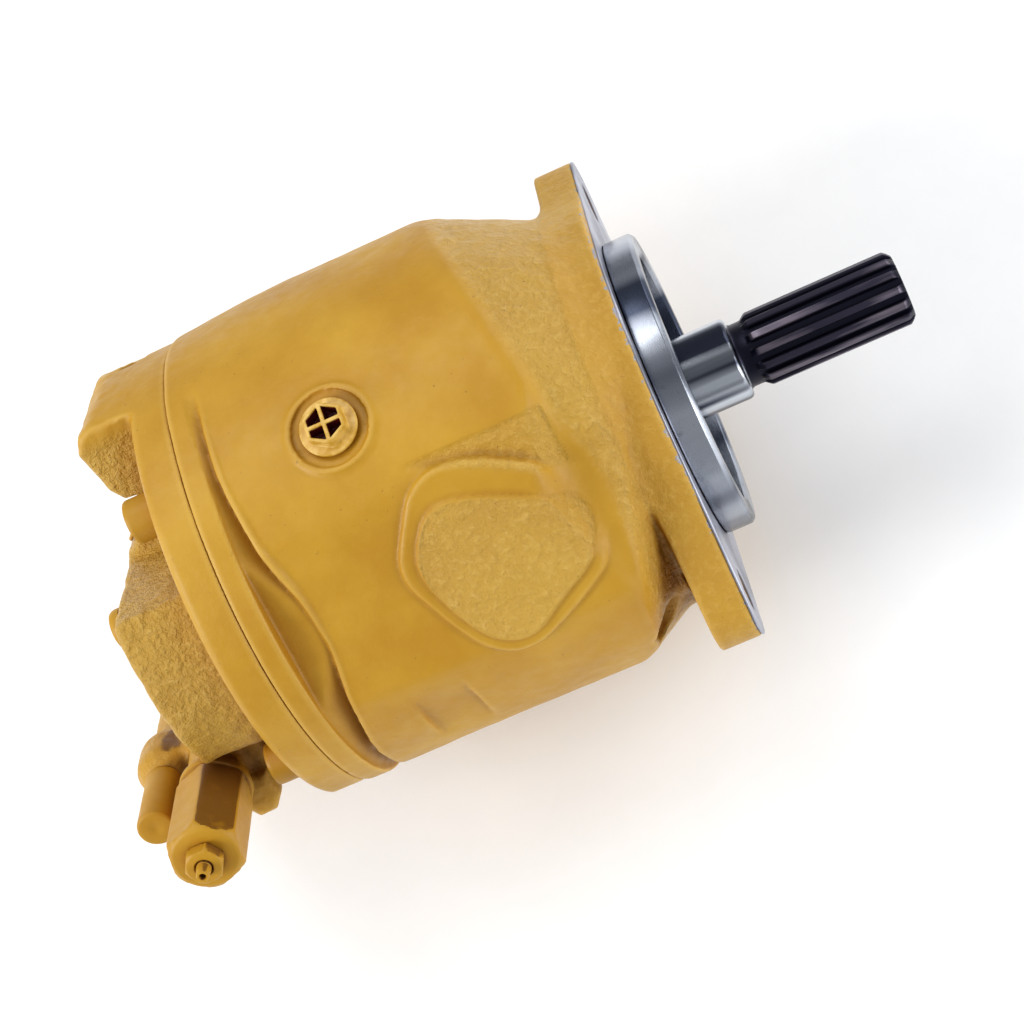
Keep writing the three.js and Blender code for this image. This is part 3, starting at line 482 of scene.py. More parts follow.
def paint_material(name, stain=0.0):
    """Ochre enamel over cast iron: painted shade in hollows, thin paint and a painted highlight on edges,
    painted glints where the skin is rough, which is also lumpy.
    """
    shader = Shader(name)
    grit_and_glint = shader.node("ShaderNodeAttribute", attribute_name="grit_and_glint").outputs["Fac"]
    bend = shader.node("ShaderNodeAttribute", attribute_name="bend").outputs["Fac"]
    lumps = shader.noise(330, 5, 0.62)
    base = shader.mix(shader.ramp(shader.noise(22, 4), 0.36, 0.66), OCHRE, OCHRE_LIGHT)
    # painted highlight: the rough skin lighter all over
    base = shader.mix(shader.ramp(grit_and_glint, 0.0, 1.0, 0.0, 0.30), base, OCHRE_PALE_AND_HIGHLIGHT)
    # painted glints: lighter ochre on the crests of the rough skin
    painted_glints = shader.math("MULTIPLY", shader.ramp(lumps, 0.50, 0.72, 0.0, 0.62), grit_and_glint)
    base = shader.mix(painted_glints, base, OCHRE_PALE_AND_HIGHLIGHT)
    # painted shade: darker ochre where ambient occlusion finds hollows
    hollow = shader.node("ShaderNodeAmbientOcclusion", samples=8, Distance=0.022)
    base = shader.mix(shader.ramp(hollow.outputs["AO"], 0.28, 0.88, 1.0, 0.0), base, OCHRE_AO_SHADE)
    # lighter on convex edges: partly thin paint, partly painted highlight
    base = shader.mix(shader.ramp(bend, 0.16, 0.70, 0.0, 0.42), base, OCHRE_PALE_AND_HIGHLIGHT)
    # painted shade: darker ochre in concave hollows
    base = shader.mix(shader.ramp(bend, -0.60, -0.10, 0.55, 0.0), base, OCHRE_HOLLOW_SHADE)
    specks = shader.ramp(shader.noise(420, 2), 0.72, 0.78, 0.0, 0.5)
    base = shader.mix(specks, base, SPECK)
    # brown stain patches, with painted shade in hollows and on flats facing the cover
    if stain:
        base = add_stain_and_shade(shader, base, hollow.outputs["AO"], stain)
    near_face = shader.ramp(shader.axes()[0], -0.0055, -0.0009, 0.0, 0.42)
    chip = shader.ramp(shader.math("ADD", shader.noise(310, 5, 0.65), near_face), 0.93, 0.97)
    base = shader.mix(chip, base, BARE_IRON)
    shader.set(Base_Color=base, Metallic=chip)
    gloss = shader.math("MULTIPLY", grit_and_glint, -0.14)
    dull = shader.ramp(shader.noise(160, 4), 0.3, 0.7, 0.42, 0.60)
    shader.set(Roughness=shader.math("ADD", dull, gloss))
    shader.set(Coat_Weight=0.05, Coat_Roughness=0.26, Specular_IOR_Level=0.34)
    shader.bump(shader.noise(90, 3), 0.35, 0.5)
    shader.bump(shader.math("MULTIPLY", lumps, grit_and_glint), 2.6, 1.0)
    fine = shader.math("MULTIPLY", shader.noise(640, 4, 0.6), shader.ramp(grit_and_glint, 0.0, 1.0, 0.25, 1.0))
    shader.bump(fine, 0.32, 1.0)
    return shader.material


def add_stain_and_shade(shader, base, openness, amount):
    """Brown stain in random patches, and brown painted shade in hollows and on flats that face the cover.
    """
    turned = shader.node("ShaderNodeVectorMath", operation="DOT_PRODUCT")
    shader.link(shader.node("ShaderNodeTexCoord").outputs["Normal"], turned.inputs[0])
    turned.inputs[1].default_value = SHADED_FACES
    patches = shader.noise(48, 4, 0.6)
    # painted shade on the flats that face the cover
    sheltered = shader.ramp(turned.outputs["Value"], 0.86, 0.97, 0.0, 0.42)
    # painted shade in hollows
    hidden = shader.ramp(openness, 0.30, 0.85, 0.42, 0.0)
    reach = shader.math("ADD", shader.math("ADD", sheltered, hidden), patches)
    return shader.mix(shader.ramp(reach, 0.66, 0.86, 0.0, amount), base, BROWN_STAIN_AND_SHADE)


def steel_material(name, dark, light, bands, rough, metal=1.0, stretch=(0.04, 1, 1)):
    """Machined steel: turning marks round the X axis, and light and dark bands along it, which are painted
    reflections.
    """
    shader = Shader(name)
    marks = shader.noise(900, 3, 0.6, (9.0, 0.3, 0.3))
    # painted reflections: light and dark bands along the axis
    bright = shader.ramp(shader.noise(bands, 2, 0.35, stretch), 0.40, 0.60)
    base = shader.mix(bright, dark, light)
    stain = shader.ramp(shader.noise(210, 5, 0.65), 0.60, 0.78, 0.0, 0.55)
    shader.set(Base_Color=shader.mix(stain, base, tuple(c * 0.35 for c in dark)), Metallic=metal)
    shader.set(Roughness=shader.ramp(marks, 0.3, 0.7, rough * 0.8, rough * 1.25))
    shader.bump(marks, 0.012, 0.5)
    return shader.material


def shaft_material():
    """A ground bright journal with painted reflections in light and dark bands, and beyond it a blackened
    spline with worn tooth tips.
    """
    shader = Shader("journal_and_spline")
    x, y, z = shader.axes()
    # painted reflections: light and dark bands along the journal
    bands = shader.ramp(shader.noise(105, 2, 0.35, (0.03, 1, 1)), 0.42, 0.57)
    journal = shader.mix(bands, (0.035, 0.04, 0.06), (0.56, 0.60, 0.66))
    tip = shader.ramp(shader.hypot(y, z), 0.0144, 0.0155)
    wear = shader.ramp(shader.noise(150, 3, 0.5, (0.12, 1, 1)), 0.50, 0.66)
    tooth = shader.mix(wear, (0.032, 0.028, 0.048), (0.20, 0.17, 0.21))
    spline = shader.mix(tip, (0.004, 0.004, 0.014), tooth)
    beyond = shader.ramp(x, 0.0322, 0.0330)
    shader.set(Base_Color=shader.mix(beyond, journal, spline))
    shader.set(Metallic=shader.ramp(beyond, 0.0, 1.0, 1.0, 0.75))
    marks = shader.noise(900, 3, 0.6, (9.0, 0.3, 0.3))
    smooth = shader.ramp(marks, 0.3, 0.7, 0.15, 0.26)
    shader.set(Roughness=shader.math("ADD", smooth, shader.math("MULTIPLY", beyond, 0.16)))
    shader.bump(marks, 0.01, 0.5)
    shader.bump(shader.noise(500, 4), 0.02, 0.5)
    return shader.material


def plain_material(name, color, roughness, metal, grain_scale, grain_depth, variation=0.35):
    """A material with fine grain and slow colour variation."""
    shader = Shader(name)
    cloud = shader.ramp(shader.noise(70, 4), 0.35, 0.7)
    dull = tuple(c * (1 - variation) for c in color)
    shader.set(Base_Color=shader.mix(cloud, color, dull), Metallic=metal)
    shader.set(Roughness=shader.ramp(shader.noise(300, 3), 0.3, 0.7, roughness * 0.8, roughness * 1.2))
    shader.bump(shader.noise(grain_scale, 3), grain_depth, 0.6)
    return shader.material


def plug_material():
    """Dark red moulded plastic whose raised edges caught the ochre spray."""
    shader = Shader("plug_plastic")
    x, y, z = shader.axes()
    radius = shader.hypot(shader.math("SUBTRACT", x, DRAIN_X * MM), y)
    ragged = shader.math("MULTIPLY", shader.noise(700, 2), 0.0006)
    level = shader.math("ADD", shader.math("ABSOLUTE", z), ragged)
    top = shader.ramp(level, PLUG_TOP_Z * MM - 0.0009, PLUG_TOP_Z * MM - 0.0003)
    sprayed = shader.math("MAXIMUM", top, shader.ramp(radius, 0.0073, 0.0076))
    red = shader.mix(shader.ramp(shader.noise(120, 3), 0.4, 0.65), RED, RED_DEEP)
    spray = shader.mix(shader.ramp(shader.noise(240, 4), 0.4, 0.62), OCHRE_LIGHT, OCHRE_PALE_AND_HIGHLIGHT)
    shader.set(Base_Color=shader.mix(sprayed, red, spray), Metallic=0.0)
    shader.set(Roughness=shader.ramp(shader.noise(160, 3), 0.3, 0.7, 0.34, 0.5))
    shader.bump(shader.noise(420, 3), 0.08, 0.7)
    return shader.material


PAINT = paint_material("ochre_enamel")
STAINED_AND_SHADED_PAINT = paint_material("ochre_enamel_stained_and_shaded", 0.9)
STEEL = steel_material("machined_steel", (0.05, 0.06, 0.09), (0.44, 0.47, 0.53), 36, 0.24)
FACE_STEEL = steel_material(
    "milled_steel", (0.30, 0.31, 0.37), (0.50, 0.51, 0.58), 40, 0.38, 0.9, (1, 1, 1)
)
BRIGHT = steel_material("ground_steel", (0.22, 0.24, 0.28), (0.68, 0.70, 0.74), 60, 0.18)
BRONZE = steel_material("bearing_bronze", (0.24, 0.14, 0.05), (0.52, 0.34, 0.15), 50, 0.3)
RUBBER = plain_material("seal_rubber", (0.018, 0.018, 0.02), 0.6, 0.0, 500, 0.05)
PLASTIC = plug_material()
SHAFT_STEEL = shaft_material()


# ---- turned pieces with shaped sections ----

def hexagonal(across_flats, turn=0.0):
    """The greatest radius at each angle inside a hexagon, turned by an angle in degrees."""
    def limit(angle):
        from_flat = (angle - math.radians(turn) + math.pi / 6) % (math.pi / 3) - math.pi / 6
        return across_flats / 2 / np.cos(from_flat)
    return limit


def splined(tip, root, teeth):
    """The radius at each angle of straight-flanked teeth."""
    def limit(angle):
        from_middle = np.abs((angle * teeth / (2 * math.pi)) % 1 - 0.5) * 2
        fall = np.clip((from_middle - 0.40) / 0.22, 0, 1)
        return tip - (tip - root) * eased(fall)
    return limit


def shaped(stations, segments=96):
    """Points and faces of a solid about X, from (x, r) or (x, r, limit), where limit clips r by angle."""
    angles = 2 * math.pi * np.arange(segments) / segments
    points, rows = [], []
    for x, r, *limit in stations:
        if r < 1e-6:
            rows.append([len(points)] * segments)
            points.append((x, 0, 0))
            continue
        radii = np.full(segments, float(r))
        if limit:
            radii = np.minimum(radii, limit[0](angles))
        rows.append(list(range(len(points), len(points) + segments)))
        points.extend(zip(np.full(segments, x), radii * np.cos(angles), radii * np.sin(angles)))
    pairs = list(zip(rows, rows[1:]))
    if stations[0][1] > 1e-6:
        pairs.append((rows[-1], rows[0]))
    return np.array(points), [face for near, far in pairs for face in band(near, far)]


# ---- housing ----

# How the cast body changes round the shaft: {degrees from +Y towards +Z: millimetres}.
BODY_R = {0: 102, 22: 103.5, 58: 101, 88: 98.6, 115: 98, 300: 98, 330: 99}
CREASE_X = {0: -62, 22: -64, 45: -60, 57: -56, 75: -49, 90: -43.5, 101: -40, 106: -38.5, 118: -33,
            128: -31, 150: -32, 180: -40, 196: -49, 225: -55, 270: -40, 315: -30}
SLOPE_END_X = {0: -22, 22: -22, 60: -4, 101: -5, 125: -16, 150: -20, 202: -24, 225: -18, 270: -6, 315: -16}
SLOPE_END_R = {0: 84, 22: 84, 60: 74, 150: 73, 180: 78, 202: 85, 225: 80, 270: 73, 315: 74}
RIDGE_X = {0: -160, 78: -161.5, 93: -160.8, 110: -156.6, 123: -151.6, 138: -150.4, 152: -154, 170: -158,
           200: -160}
WAIST_DEPTH = {0: -4, 58: -4, 72: 1.5, 98: 5, 118: 8.5, 205: 9, 240: -4}

# The terraces over the cradle's trunnion, in X and -CY, and the hollow above them.
PAD_OUTER = [(-113.8, -11.4), (-105.4, -27.4), (-92, -46), (-71.4, -46), (-50.2, -34), (-30, -18),
             (-24.5, -4), (-36.9, 14.1), (-54.4, 25), (-78, 36), (-94, 31), (-106.3, 9.2)]
PAD_INNER = [(-106.5, -11.3), (-99, -26), (-89, -34.5), (-72.6, -31), (-54.5, -22), (-40.5, -14.3),
             (-35.5, -1), (-45, 12.5), (-61.6, 21), (-77.5, 31), (-92, 25), (-101.5, 7.2)]
HOLLOW = [(-100, -50), (-62, -50.5), (-33.5, -51), (-26, -32), (-28, -18), (-36, -20), (-66, -38.5),
          (-84, -46.5)]
PAD_STEPS = ((PAD_OUTER, 2.2, 1.2), (PAD_INNER, 4.4, 0.9))
PANEL_DISTANCE = 91.4
PANEL_LEAN = 0.0704

# Where the body may outgrow the rim, and by how much for each millimetre of X.
TAPER_FROM_X = -187
TAPER = 0.085

# A shallow flat low on the body's side.
FLAT_ANGLE = 170
FLAT_DISTANCE = 95.6
FLAT_X = -122
FLAT_HALF_LENGTH = 11

# Places that fade out round the shaft: the middle and the half width, in degrees.
LIP_SPAN = (116, 44)
VALLEY_SPAN = (123, 35)
VALLEY_X = -32
VALLEY_R = 98
VALLEY_SWELL = 15
EAR_SPOT_R = 15.5
EAR_SPOT_X = -20.5
DRAIN_BOSS_R = 17

# Each drain hole's steps: radius, height of the floor, and how soft the edge is.
DRAIN_STEPS = ((15.3, DRAIN_FACE_Z - 0.8, 0.3), (12.2, DRAIN_FACE_Z - 1.2, 0), (9.2, 70, 0))
SMOOTH_GRIT = 0.06


def around(angle, values, spread=25):
    """A value that changes smoothly round the shaft, from {degrees: value}."""
    places = sorted(values)
    wrapped = [place + turn for turn in (-360, 0, 360) for place in places]
    degrees = np.arange(-180, 541.0)
    steps = np.interp(degrees, wrapped, [values[place] for place in places] * 3)
    kernel = np.hanning(spread)
    smooth = np.convolve(steps, kernel / kernel.sum(), "same")
    return np.interp(angle, degrees, smooth).astype(np.float32)


def flange_distance(y, z):
    """The signed distance from the flange's outline: a round middle drawn out to an ear at each end."""
    lean = (FLANGE_R - EAR_R) / EAR_HOLE_Y
    along = math.sqrt(1 - lean * lean)
    py, pz = np.abs(y), np.abs(z)
    reach = py * along - pz * lean
    middle = np.hypot(py, pz) - FLANGE_R
    ear = np.hypot(py - EAR_HOLE_Y, pz) - EAR_R
    side = py * lean + pz * along - FLANGE_R
    return np.where(reach < 0, middle, np.where(reach > along * EAR_HOLE_Y, ear, side))


def fading(angle, span):
    """1 at the middle of a span round the shaft, falling to 0 at its ends."""
    middle, half_width = span
    return np.clip(1 - np.abs(angle - middle) / half_width, 0, 1)


def softened(corners, rounds=3):
    """The outline with its corners cut again and again into curves."""
    for _ in range(rounds):
        pairs = list(zip(corners, corners[1:] + corners[:1]))
        corners = [((1 - t) * a[0] + t * b[0], (1 - t) * a[1] + t * b[1])
                   for a, b in pairs for t in (0.25, 0.75)]
    return corners


def panel_height(casting):
    """The distance out from the flattened side panel."""
    return casting.cz - PANEL_DISTANCE + PANEL_LEAN * casting.cy


def add_body(casting):
    """The round body, its slope down to the flange and the flattened side panel.

    Returns how much each place belongs to the slope.
    """
    x, r, angle = casting.x, casting.r, casting.angle
    body_r, crease = around(angle, BODY_R), around(angle, CREASE_X, 9)
    end_x, end_r = around(angle, SLOPE_END_X), around(angle, SLOPE_END_R)
    run, drop = end_x - crease, body_r - end_r
    cone = ((r - body_r) * run + (x - crease) * drop) / np.hypot(run, drop)
    casting.join(smooth_max(r - body_r, cone, 2.5))
    casting.keep(r - RIM_R - TAPER * (x - TAPER_FROM_X), 2)
    casting.keep(panel_height(casting), 1.2)
    outside = FLAT_DISTANCE - r * np.cos(np.radians(angle - FLAT_ANGLE))
    flat = smooth_max(outside, np.abs(x - FLAT_X) - FLAT_HALF_LENGTH, 1)
    casting.cut(smooth_max(flat, FLAT_ANGLE - 30 - angle, 1), 1)
    casting.join(np.maximum(r - end_r, x + 1), 3)
    casting.keep(casting.slab(x, JOINT_X, -1.5), 1)
    return np.clip((x - crease - 1) / 5, 0, 1)


def add_pad(casting):
    """The two terraces raised on the side panel, and the hollow between them and the round body.

    Returns how much each place belongs to the upper terrace, and to the hollow.
    """
    surface = panel_height(casting)
    hollow = casting.outline_distance(softened(HOLLOW))
    casting.cut(smooth_max(hollow, -3.0 - surface, 2), 1.5)
    for corners, height, blend in PAD_STEPS:
        outline = casting.outline_distance(softened(corners))
        terrace = smooth_max(outline, surface - height, 1.6)
        casting.join(np.maximum(terrace, 70 - casting.cz), blend)
    facing = casting.cz > 80
    return [np.where(facing, np.clip(-place / 2, 0, 1), 0) for place in (outline, hollow)]


def cut_waist(casting):
    """The groove between the rim and the body, with a rough lip along the body's side."""
    ridge, depth = around(casting.angle, RIDGE_X, 15), around(casting.angle, WAIST_DEPTH)
    surface = np.maximum(casting.r - around(casting.angle, BODY_R), panel_height(casting))
    lip = fading(casting.angle, LIP_SPAN) ** 0.35
    casting.join(np.hypot(casting.x - ridge - 1.5, surface) + 1.5 - 3.0 * lip, 1.5)
    half = (ridge - WAIST_START_X) / 2
    slope = 0.12 + 0.88 * np.clip((casting.x - WAIST_START_X) / (2 * half), 0, 1)
    floor = RIM_R - np.where(depth > 0, depth * slope, depth)
    groove = smooth_max(np.abs(casting.x - WAIST_START_X - half) - half, floor - casting.r, 1.0)
    for y, z in SCREW_PLACES:
        groove = smooth_max(groove, -casting.rod("x", y, z, 9.5, -180, -150), 2)
    casting.cut(groove, 0.8)


def cut_valley(casting):
    """The hollow between the body's side and the back of the flange."""
    radius = 1 + VALLEY_SWELL * eased(fading(casting.angle, VALLEY_SPAN))
    casting.cut(np.hypot(casting.x - VALLEY_X, casting.r - VALLEY_R) - radius, 6)


def add_flange(casting):
    """The two-eared flange, short of its machined skin, with a spot face behind each bolt hole."""
    plate = casting.slab(casting.x, -FLANGE_THICKNESS, -BARE_DEPTH)
    casting.join(smooth_max(flange_distance(casting.y, casting.z), plate, 1), 5)
    casting.keep(casting.x + BARE_DEPTH)
    for side in (1, -1):
        casting.cut(casting.rod("x", side * EAR_HOLE_Y, 0, EAR_SPOT_R, EAR_SPOT_X, -FLANGE_THICKNESS), 1)
        casting.cut(casting.rod("x", side * EAR_HOLE_Y, 0, EAR_HOLE_R, -40, 5))


def add_drain_bosses(casting):
    """A boss above and below, each with a spot face, a seat for the plug's collar and a hole."""
    for side in (1, -1):
        casting.join(casting.rod("z", DRAIN_X, 0, DRAIN_BOSS_R, side * 80, side * DRAIN_FACE_Z), 3)
        for radius, z, blend in DRAIN_STEPS:
            casting.cut(casting.rod("z", DRAIN_X, 0, radius, side * z, side * 120), blend)


def cut_inside(casting):
    """The hollows, as the CAD housing has them, so that what turns inside stays clear."""
    x, r = casting.x, casting.r
    wall = np.interp(x, [-62, -46, -34], [84, 80, 74]).astype(np.float32)
    hollow = np.maximum(r - wall, x + 34)
    hub = np.maximum(r - 33.6, -44 - x)
    seats = np.maximum(np.abs(np.abs(casting.cz) - 44.5) - 10.5, np.abs(casting.cy) - 38)
    seats = np.maximum(seats, -47 - x)
    for solid in (hub, seats, *(casting.rod("x", y, z, 10.5, -180, -150) for y, z in SCREW_PLACES)):
        hollow = np.maximum(hollow, -solid)
    casting.cut(hollow)
    cradle = np.hypot(x - PIVOT_X, casting.cy) - 49.3
    casting.cut(np.maximum(cradle, np.abs(np.abs(casting.cz) - 43.5) - 9.2))
    for radius, low, high in ((31.2, -50, -24), (24, -25, -16.3), (30.6, -16.6, 5), (59, -6.9, 5)):
        casting.cut(casting.rod("x", 0, 0, radius, low, high))
    for y, z in SCREW_PLACES:
        casting.cut(casting.rod("x", y, z, 6.4, -180, -160))


def make_housing():
    casting = Casting((-176, -112, -106), (1, 112, 106))
    slope = add_body(casting)
    leaf, hollow = add_pad(casting)
    cut_waist(casting)
    casting.unevenness(0.4, 24)
    casting.unevenness(0.10, 6)
    casting.unevenness(0.45, 5, slope)
    casting.unevenness(0.22, 3.2, np.maximum(leaf, hollow))
    casting.join(casting.rod("x", 0, 0, RIM_R, JOINT_X, RIM_FRONT_X, 0.8))
    cut_valley(casting)
    add_flange(casting)
    add_drain_bosses(casting)
    cut_inside(casting)
    flange = np.clip((casting.x + 20) / 2, 0, 1)
    grit_and_glint = np.maximum(np.maximum(0.9 * slope * (1 - 0.55 * flange), 0.75 * leaf), 0.6 * hollow)
    casting.mesh("housing_casting", "housing", PAINT, grit_and_glint=SMOOTH_GRIT + grit_and_glint)


def ear_outline(inset, segments=40):
    """Points round the flange's outline, drawn in by an inset."""
    lean = math.acos((FLANGE_R - EAR_R) / EAR_HOLE_Y)
    arcs = (
        (EAR_HOLE_Y, EAR_R, -lean, lean), (0, FLANGE_R, lean, math.pi - lean),
        (-EAR_HOLE_Y, EAR_R, math.pi - lean, math.pi + lean),
        (0, FLANGE_R, math.pi + lean, 2 * math.pi - lean),
    )
    return [ring_point(centre, radius - inset, start + (end - start) * k / segments)
            for centre, radius, start, end in arcs for k in range(segments + 1)]


def ring_point(centre, radius, angle):
    return centre + radius * math.cos(angle), radius * math.sin(angle)


def circle(centre, radius, segments):
    return [ring_point(centre, radius, 2 * math.pi * k / segments) for k in range(segments)]


def make_mounting_face():
    """The machined skin of the flange: an ear-shaped plate with chamfered edges and bolt holes."""
    levels = ((-BARE_DEPTH, 0.0, 0.0), (-0.35, 0.0, 0.0), (0.0, 0.35, 0.8))
    work = bmesh.new()
    stack = []
    for x, inset, widen in levels:
        rings = [ear_outline(inset), circle(0, PILOT_R - 0.4, 128)]
        rings += [circle(side * EAR_HOLE_Y, EAR_HOLE_R + widen, 48) for side in (1, -1)]
        stack.append([[work.verts.new((x * MM, y * MM, z * MM)) for y, z in ring] for ring in rings])
    for lower, upper in zip(stack, stack[1:]):
        for near, far in zip(lower, upper):
            for face in band(near, far):
                work.faces.new(face)
    for level in (stack[0], stack[-1]):
        edges = []
        for ring in level:
            edges += [work.edges.get(pair) for pair in zip(ring, ring[1:] + ring[:1])]
        bmesh.ops.triangle_fill(work, edges=edges, use_beauty=True)
    bmesh.ops.recalc_face_normals(work, faces=work.faces)
    mesh = bpy.data.meshes.new("mounting_face")
    work.to_mesh(mesh)
    work.free()
    place_mesh(mesh, FACE_STEEL, "housing")


def make_pilot():
    """The turned pilot ring with its bore, the recess floor and the step down to the seal."""
    profile = [
        (-0.9, PILOT_R - 0.9), (0.2, PILOT_R - 0.9), (0.9, PILOT_R), (PILOT_END_X - 1.6, PILOT_R),
        (PILOT_END_X, PILOT_R - 1.6), (PILOT_END_X, PILOT_BORE_R + 1.2),
        (PILOT_END_X - 1.2, PILOT_BORE_R), (-2.6, PILOT_BORE_R), (-4, PILOT_BORE_R - 1.4), (-4, 29),
        (-5.2, 27.6), (-5.2, 26.5), (-16.2, 26.5), (-16.2, 30), (-6.4, 30), (-6.4, 57),
    ]
    turned_piece("pilot_ring", profile, 0.45, STEEL)


def make_seal():
    low, high = SEAL_BOX
    rear, front, radius = low[0], high[0], high[1]
    profile = [
        (rear, radius), (front - 1, radius), (front, radius - 1), (front, radius - 2.4),
        (front - 1, radius - 3.2), (front - 1, 21.4), (front - 2.4, 20.4), (front - 2.4, 18.6),
        (front - 0.4, 17.6), (front - 3.4, 17.45), (rear + 2, 18.4), (rear, 19),
    ]
    obj = turned_piece("seal_lip", profile, 0.5, RUBBER)
    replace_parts(obj, "shaft_seal")
    low, high = node_box("seal_ring")
    section = [(low[0], high[1]), (high[0], high[1]), (high[0], 22.6), (low[0], 22.6)]
    obj = turned_piece("seal_snap_ring", section, 0.3, STEEL)
    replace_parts(obj, "seal_ring")


# ---- drive shaft ----

SPLINE_TIP_R = 15.6
SPLINE_ROOT_R = 13.3
TEETH = 14


def make_shaft():
    tooth = splined(SPLINE_TIP_R, SPLINE_ROOT_R, TEETH)
    end = SHAFT_END_X
    stations = [
        (SHAFT_LOW[0], 0), (SHAFT_LOW[0], 11.5), (-190, 12.5), (-175, 12.5), (-175, 14), (-168, 14),
        (-168, 15.6), (-46, 15.6), (-46, 16.8), (-23, 16.8), (-23, 17.3), (30.2, 17.3), (31.2, 17.0),
        (31.9, 16.3), (32.2, 15.4), (32.2, 14.4), (32.6, 13.8), (33.6, 13.4), (37.0, 13.4), (38.0, 13.5),
        (38.8, 14.1, splined(14.1, 13.45, TEETH)), (40.2, 15.2, splined(15.2, 13.35, TEETH)),
        (41.0, 15.6, tooth), (44, 15.6, tooth), (end - 3.0, 15.6, tooth), (end - 2.6, 15.45, tooth),
        (end - 1.4, 14.5, tooth), (end - 0.4, 13.4, tooth), (end, 12.9), (end, 5.2), (end - 0.8, 4.6),
        (end - 4.5, 2.4), (end - 5, 1.6), (end - 9, 1.6), (end - 9.6, 0),
    ]
    points, faces = shaped(stations, TEETH * 26)
    stand_in("splined_shaft", "drive_shaft", points, faces, SHAFT_STEEL,
             "rotating_group", 40)


# ---- end cover ----

PORT_BLOCK = [(-180, 60), (-210, 62), (-214, 68), (-218, 86), (-214, 93), (-204, 99.2), (-180, 99.2)]
SLANT_LOW = (-225, 34)
SLANT_HIGH = (-211, 49)
THROAT = [(-180, 20), (-226, 20), (-226, 33), SLANT_LOW, SLANT_HIGH, (-210, 66), (-180, 66)]
DRUM_R = 76.5
GAUGE_X = -196.0
GAUGE_CZ = -27.0
PORT_FACE_CY = 94.5

# Holes in the cover: direction, place, radius, low and high end, and how soft the edge is.
COVER_HOLES = (
    ("cradle_x", -8, 36, 13, -240, -205, 1),            # pressure port
    ("cradle_x", -8, -34, 20, -240, -205, 1),           # suction port
    ("x", 0, 0, 26.3, -194, -160, 0),                   # rear bearing
    ("cradle_x", 0, 38, 8, -215, -160, 0),              # passage to the pressure port
    ("cradle_x", 0, -38, 8, -215, -160, 0),             # passage to the suction port
    ("cy", GAUGE_X, GAUGE_CZ, 7, 80, 120, 0.6),         # gauge port
    ("cy", GAUGE_X, GAUGE_CZ, 11.5, PORT_FACE_CY, 120, 0.6),
    ("cradle_x", 69, 0, 14.8, -184, -160, 0),           # control sleeve
    ("cradle_x", -69, 0, 12.6, -184, -160, 0),          # bias guide
)


def add_port_blocks(casting):
    """The drum behind the disc, cut off flat above and below, and the block over the upper port."""
    drum = casting.rod("x", 0, 0, DRUM_R, COVER_REAR_X, -180, 3.5)
    drum = smooth_max(drum, casting.slab(casting.cy, -45.5, 31), 3)
    ports = smooth_max(casting.cradle_prism(PORT_BLOCK, -38, 30, 3), casting.r - RIM_R, 1.5)
    throat = casting.cradle_prism(THROAT, -48, 12, 5)
    blocks = smooth_min(smooth_min(drum, throat, 7), ports, 5)
    for y, z in SCREW_PLACES:
        blocks = smooth_max(blocks, -casting.rod("x", y, z, 11.5, -240, DISC_REAR_X), 3)
    casting.join(blocks)


def make_cover():
    casting = Casting((-230, -80, -101), (-168, 102, 101), cradle=True)
    x, r = casting.x, casting.r
    add_port_blocks(casting)
    casting.unevenness(0.40, 13)
    casting.unevenness(0.42, 4.5)
    disc = casting.rod("x", 0, 0, RIM_R, DISC_REAR_X, JOINT_X - 0.1, 0.8)
    bevel = (r - RIM_R + 2.4 - (x - DISC_REAR_X)) * COS45
    casting.join(smooth_max(disc, bevel, 1), 2.5)
    casting.keep(np.maximum(COVER_REAR_X - x, r - RIM_R))
    casting.keep(x - JOINT_X + 0.1)
    casting.join(casting.rod("x", 0, 0, 71, -180, -170))
    for y, z in SCREW_PLACES:
        casting.cut(casting.rod("x", y, z, 10.5, -240, DISC_REAR_X), 0.8)
        casting.cut(casting.rod("x", y, z, 6.4, -200, -160))
    for along, a, b, radius, low, high, blend in COVER_HOLES:
        casting.cut(casting.rod(along, a, b, radius, low, high), blend)
    behind = np.clip((DISC_REAR_X - x) / 3, 0, 1)
    lower = np.clip((90 - casting.cy) / 6, 0, 1)
    casting.mesh("end_cover_casting", "end_cover", PAINT, grit_and_glint=0.1 + 0.85 * behind * lower)


def cap_screw_stations(rear, head, radius, stem, length):
    """A socket-head screw along X whose head faces -X."""
    socket = hexagonal(radius * 1.06)
    return [
        (rear + head * 0.45, 0), (rear + head * 0.45, radius, socket), (rear + 0.4, radius, socket),
        (rear, radius * 0.68), (rear, radius - 1.1), (rear + 0.3, radius - 0.45),
        (rear + 1.0, radius - 0.08), (rear + 2, radius), (rear + head - 0.3, radius),
        (rear + head, radius - 0.3), (rear + head, stem),
        (rear + head + length - 1, stem), (rear + head + length, stem - 1), (rear + head + length, 0),
    ]


def make_cover_screws():
    for index, (y, z) in enumerate(SCREW_PLACES, start=1):
        node = f"cover_screw_{index}"
        low, high = node_box(node)
        points, faces = shaped(cap_screw_stations(low[0], 12, 9, 6, high[0] - low[0] - 12), 72)
        stand_in(f"cap_screw_{index}", node, points + [0, y, z], faces, PAINT)


# ---- plugs and the slanted plate ----

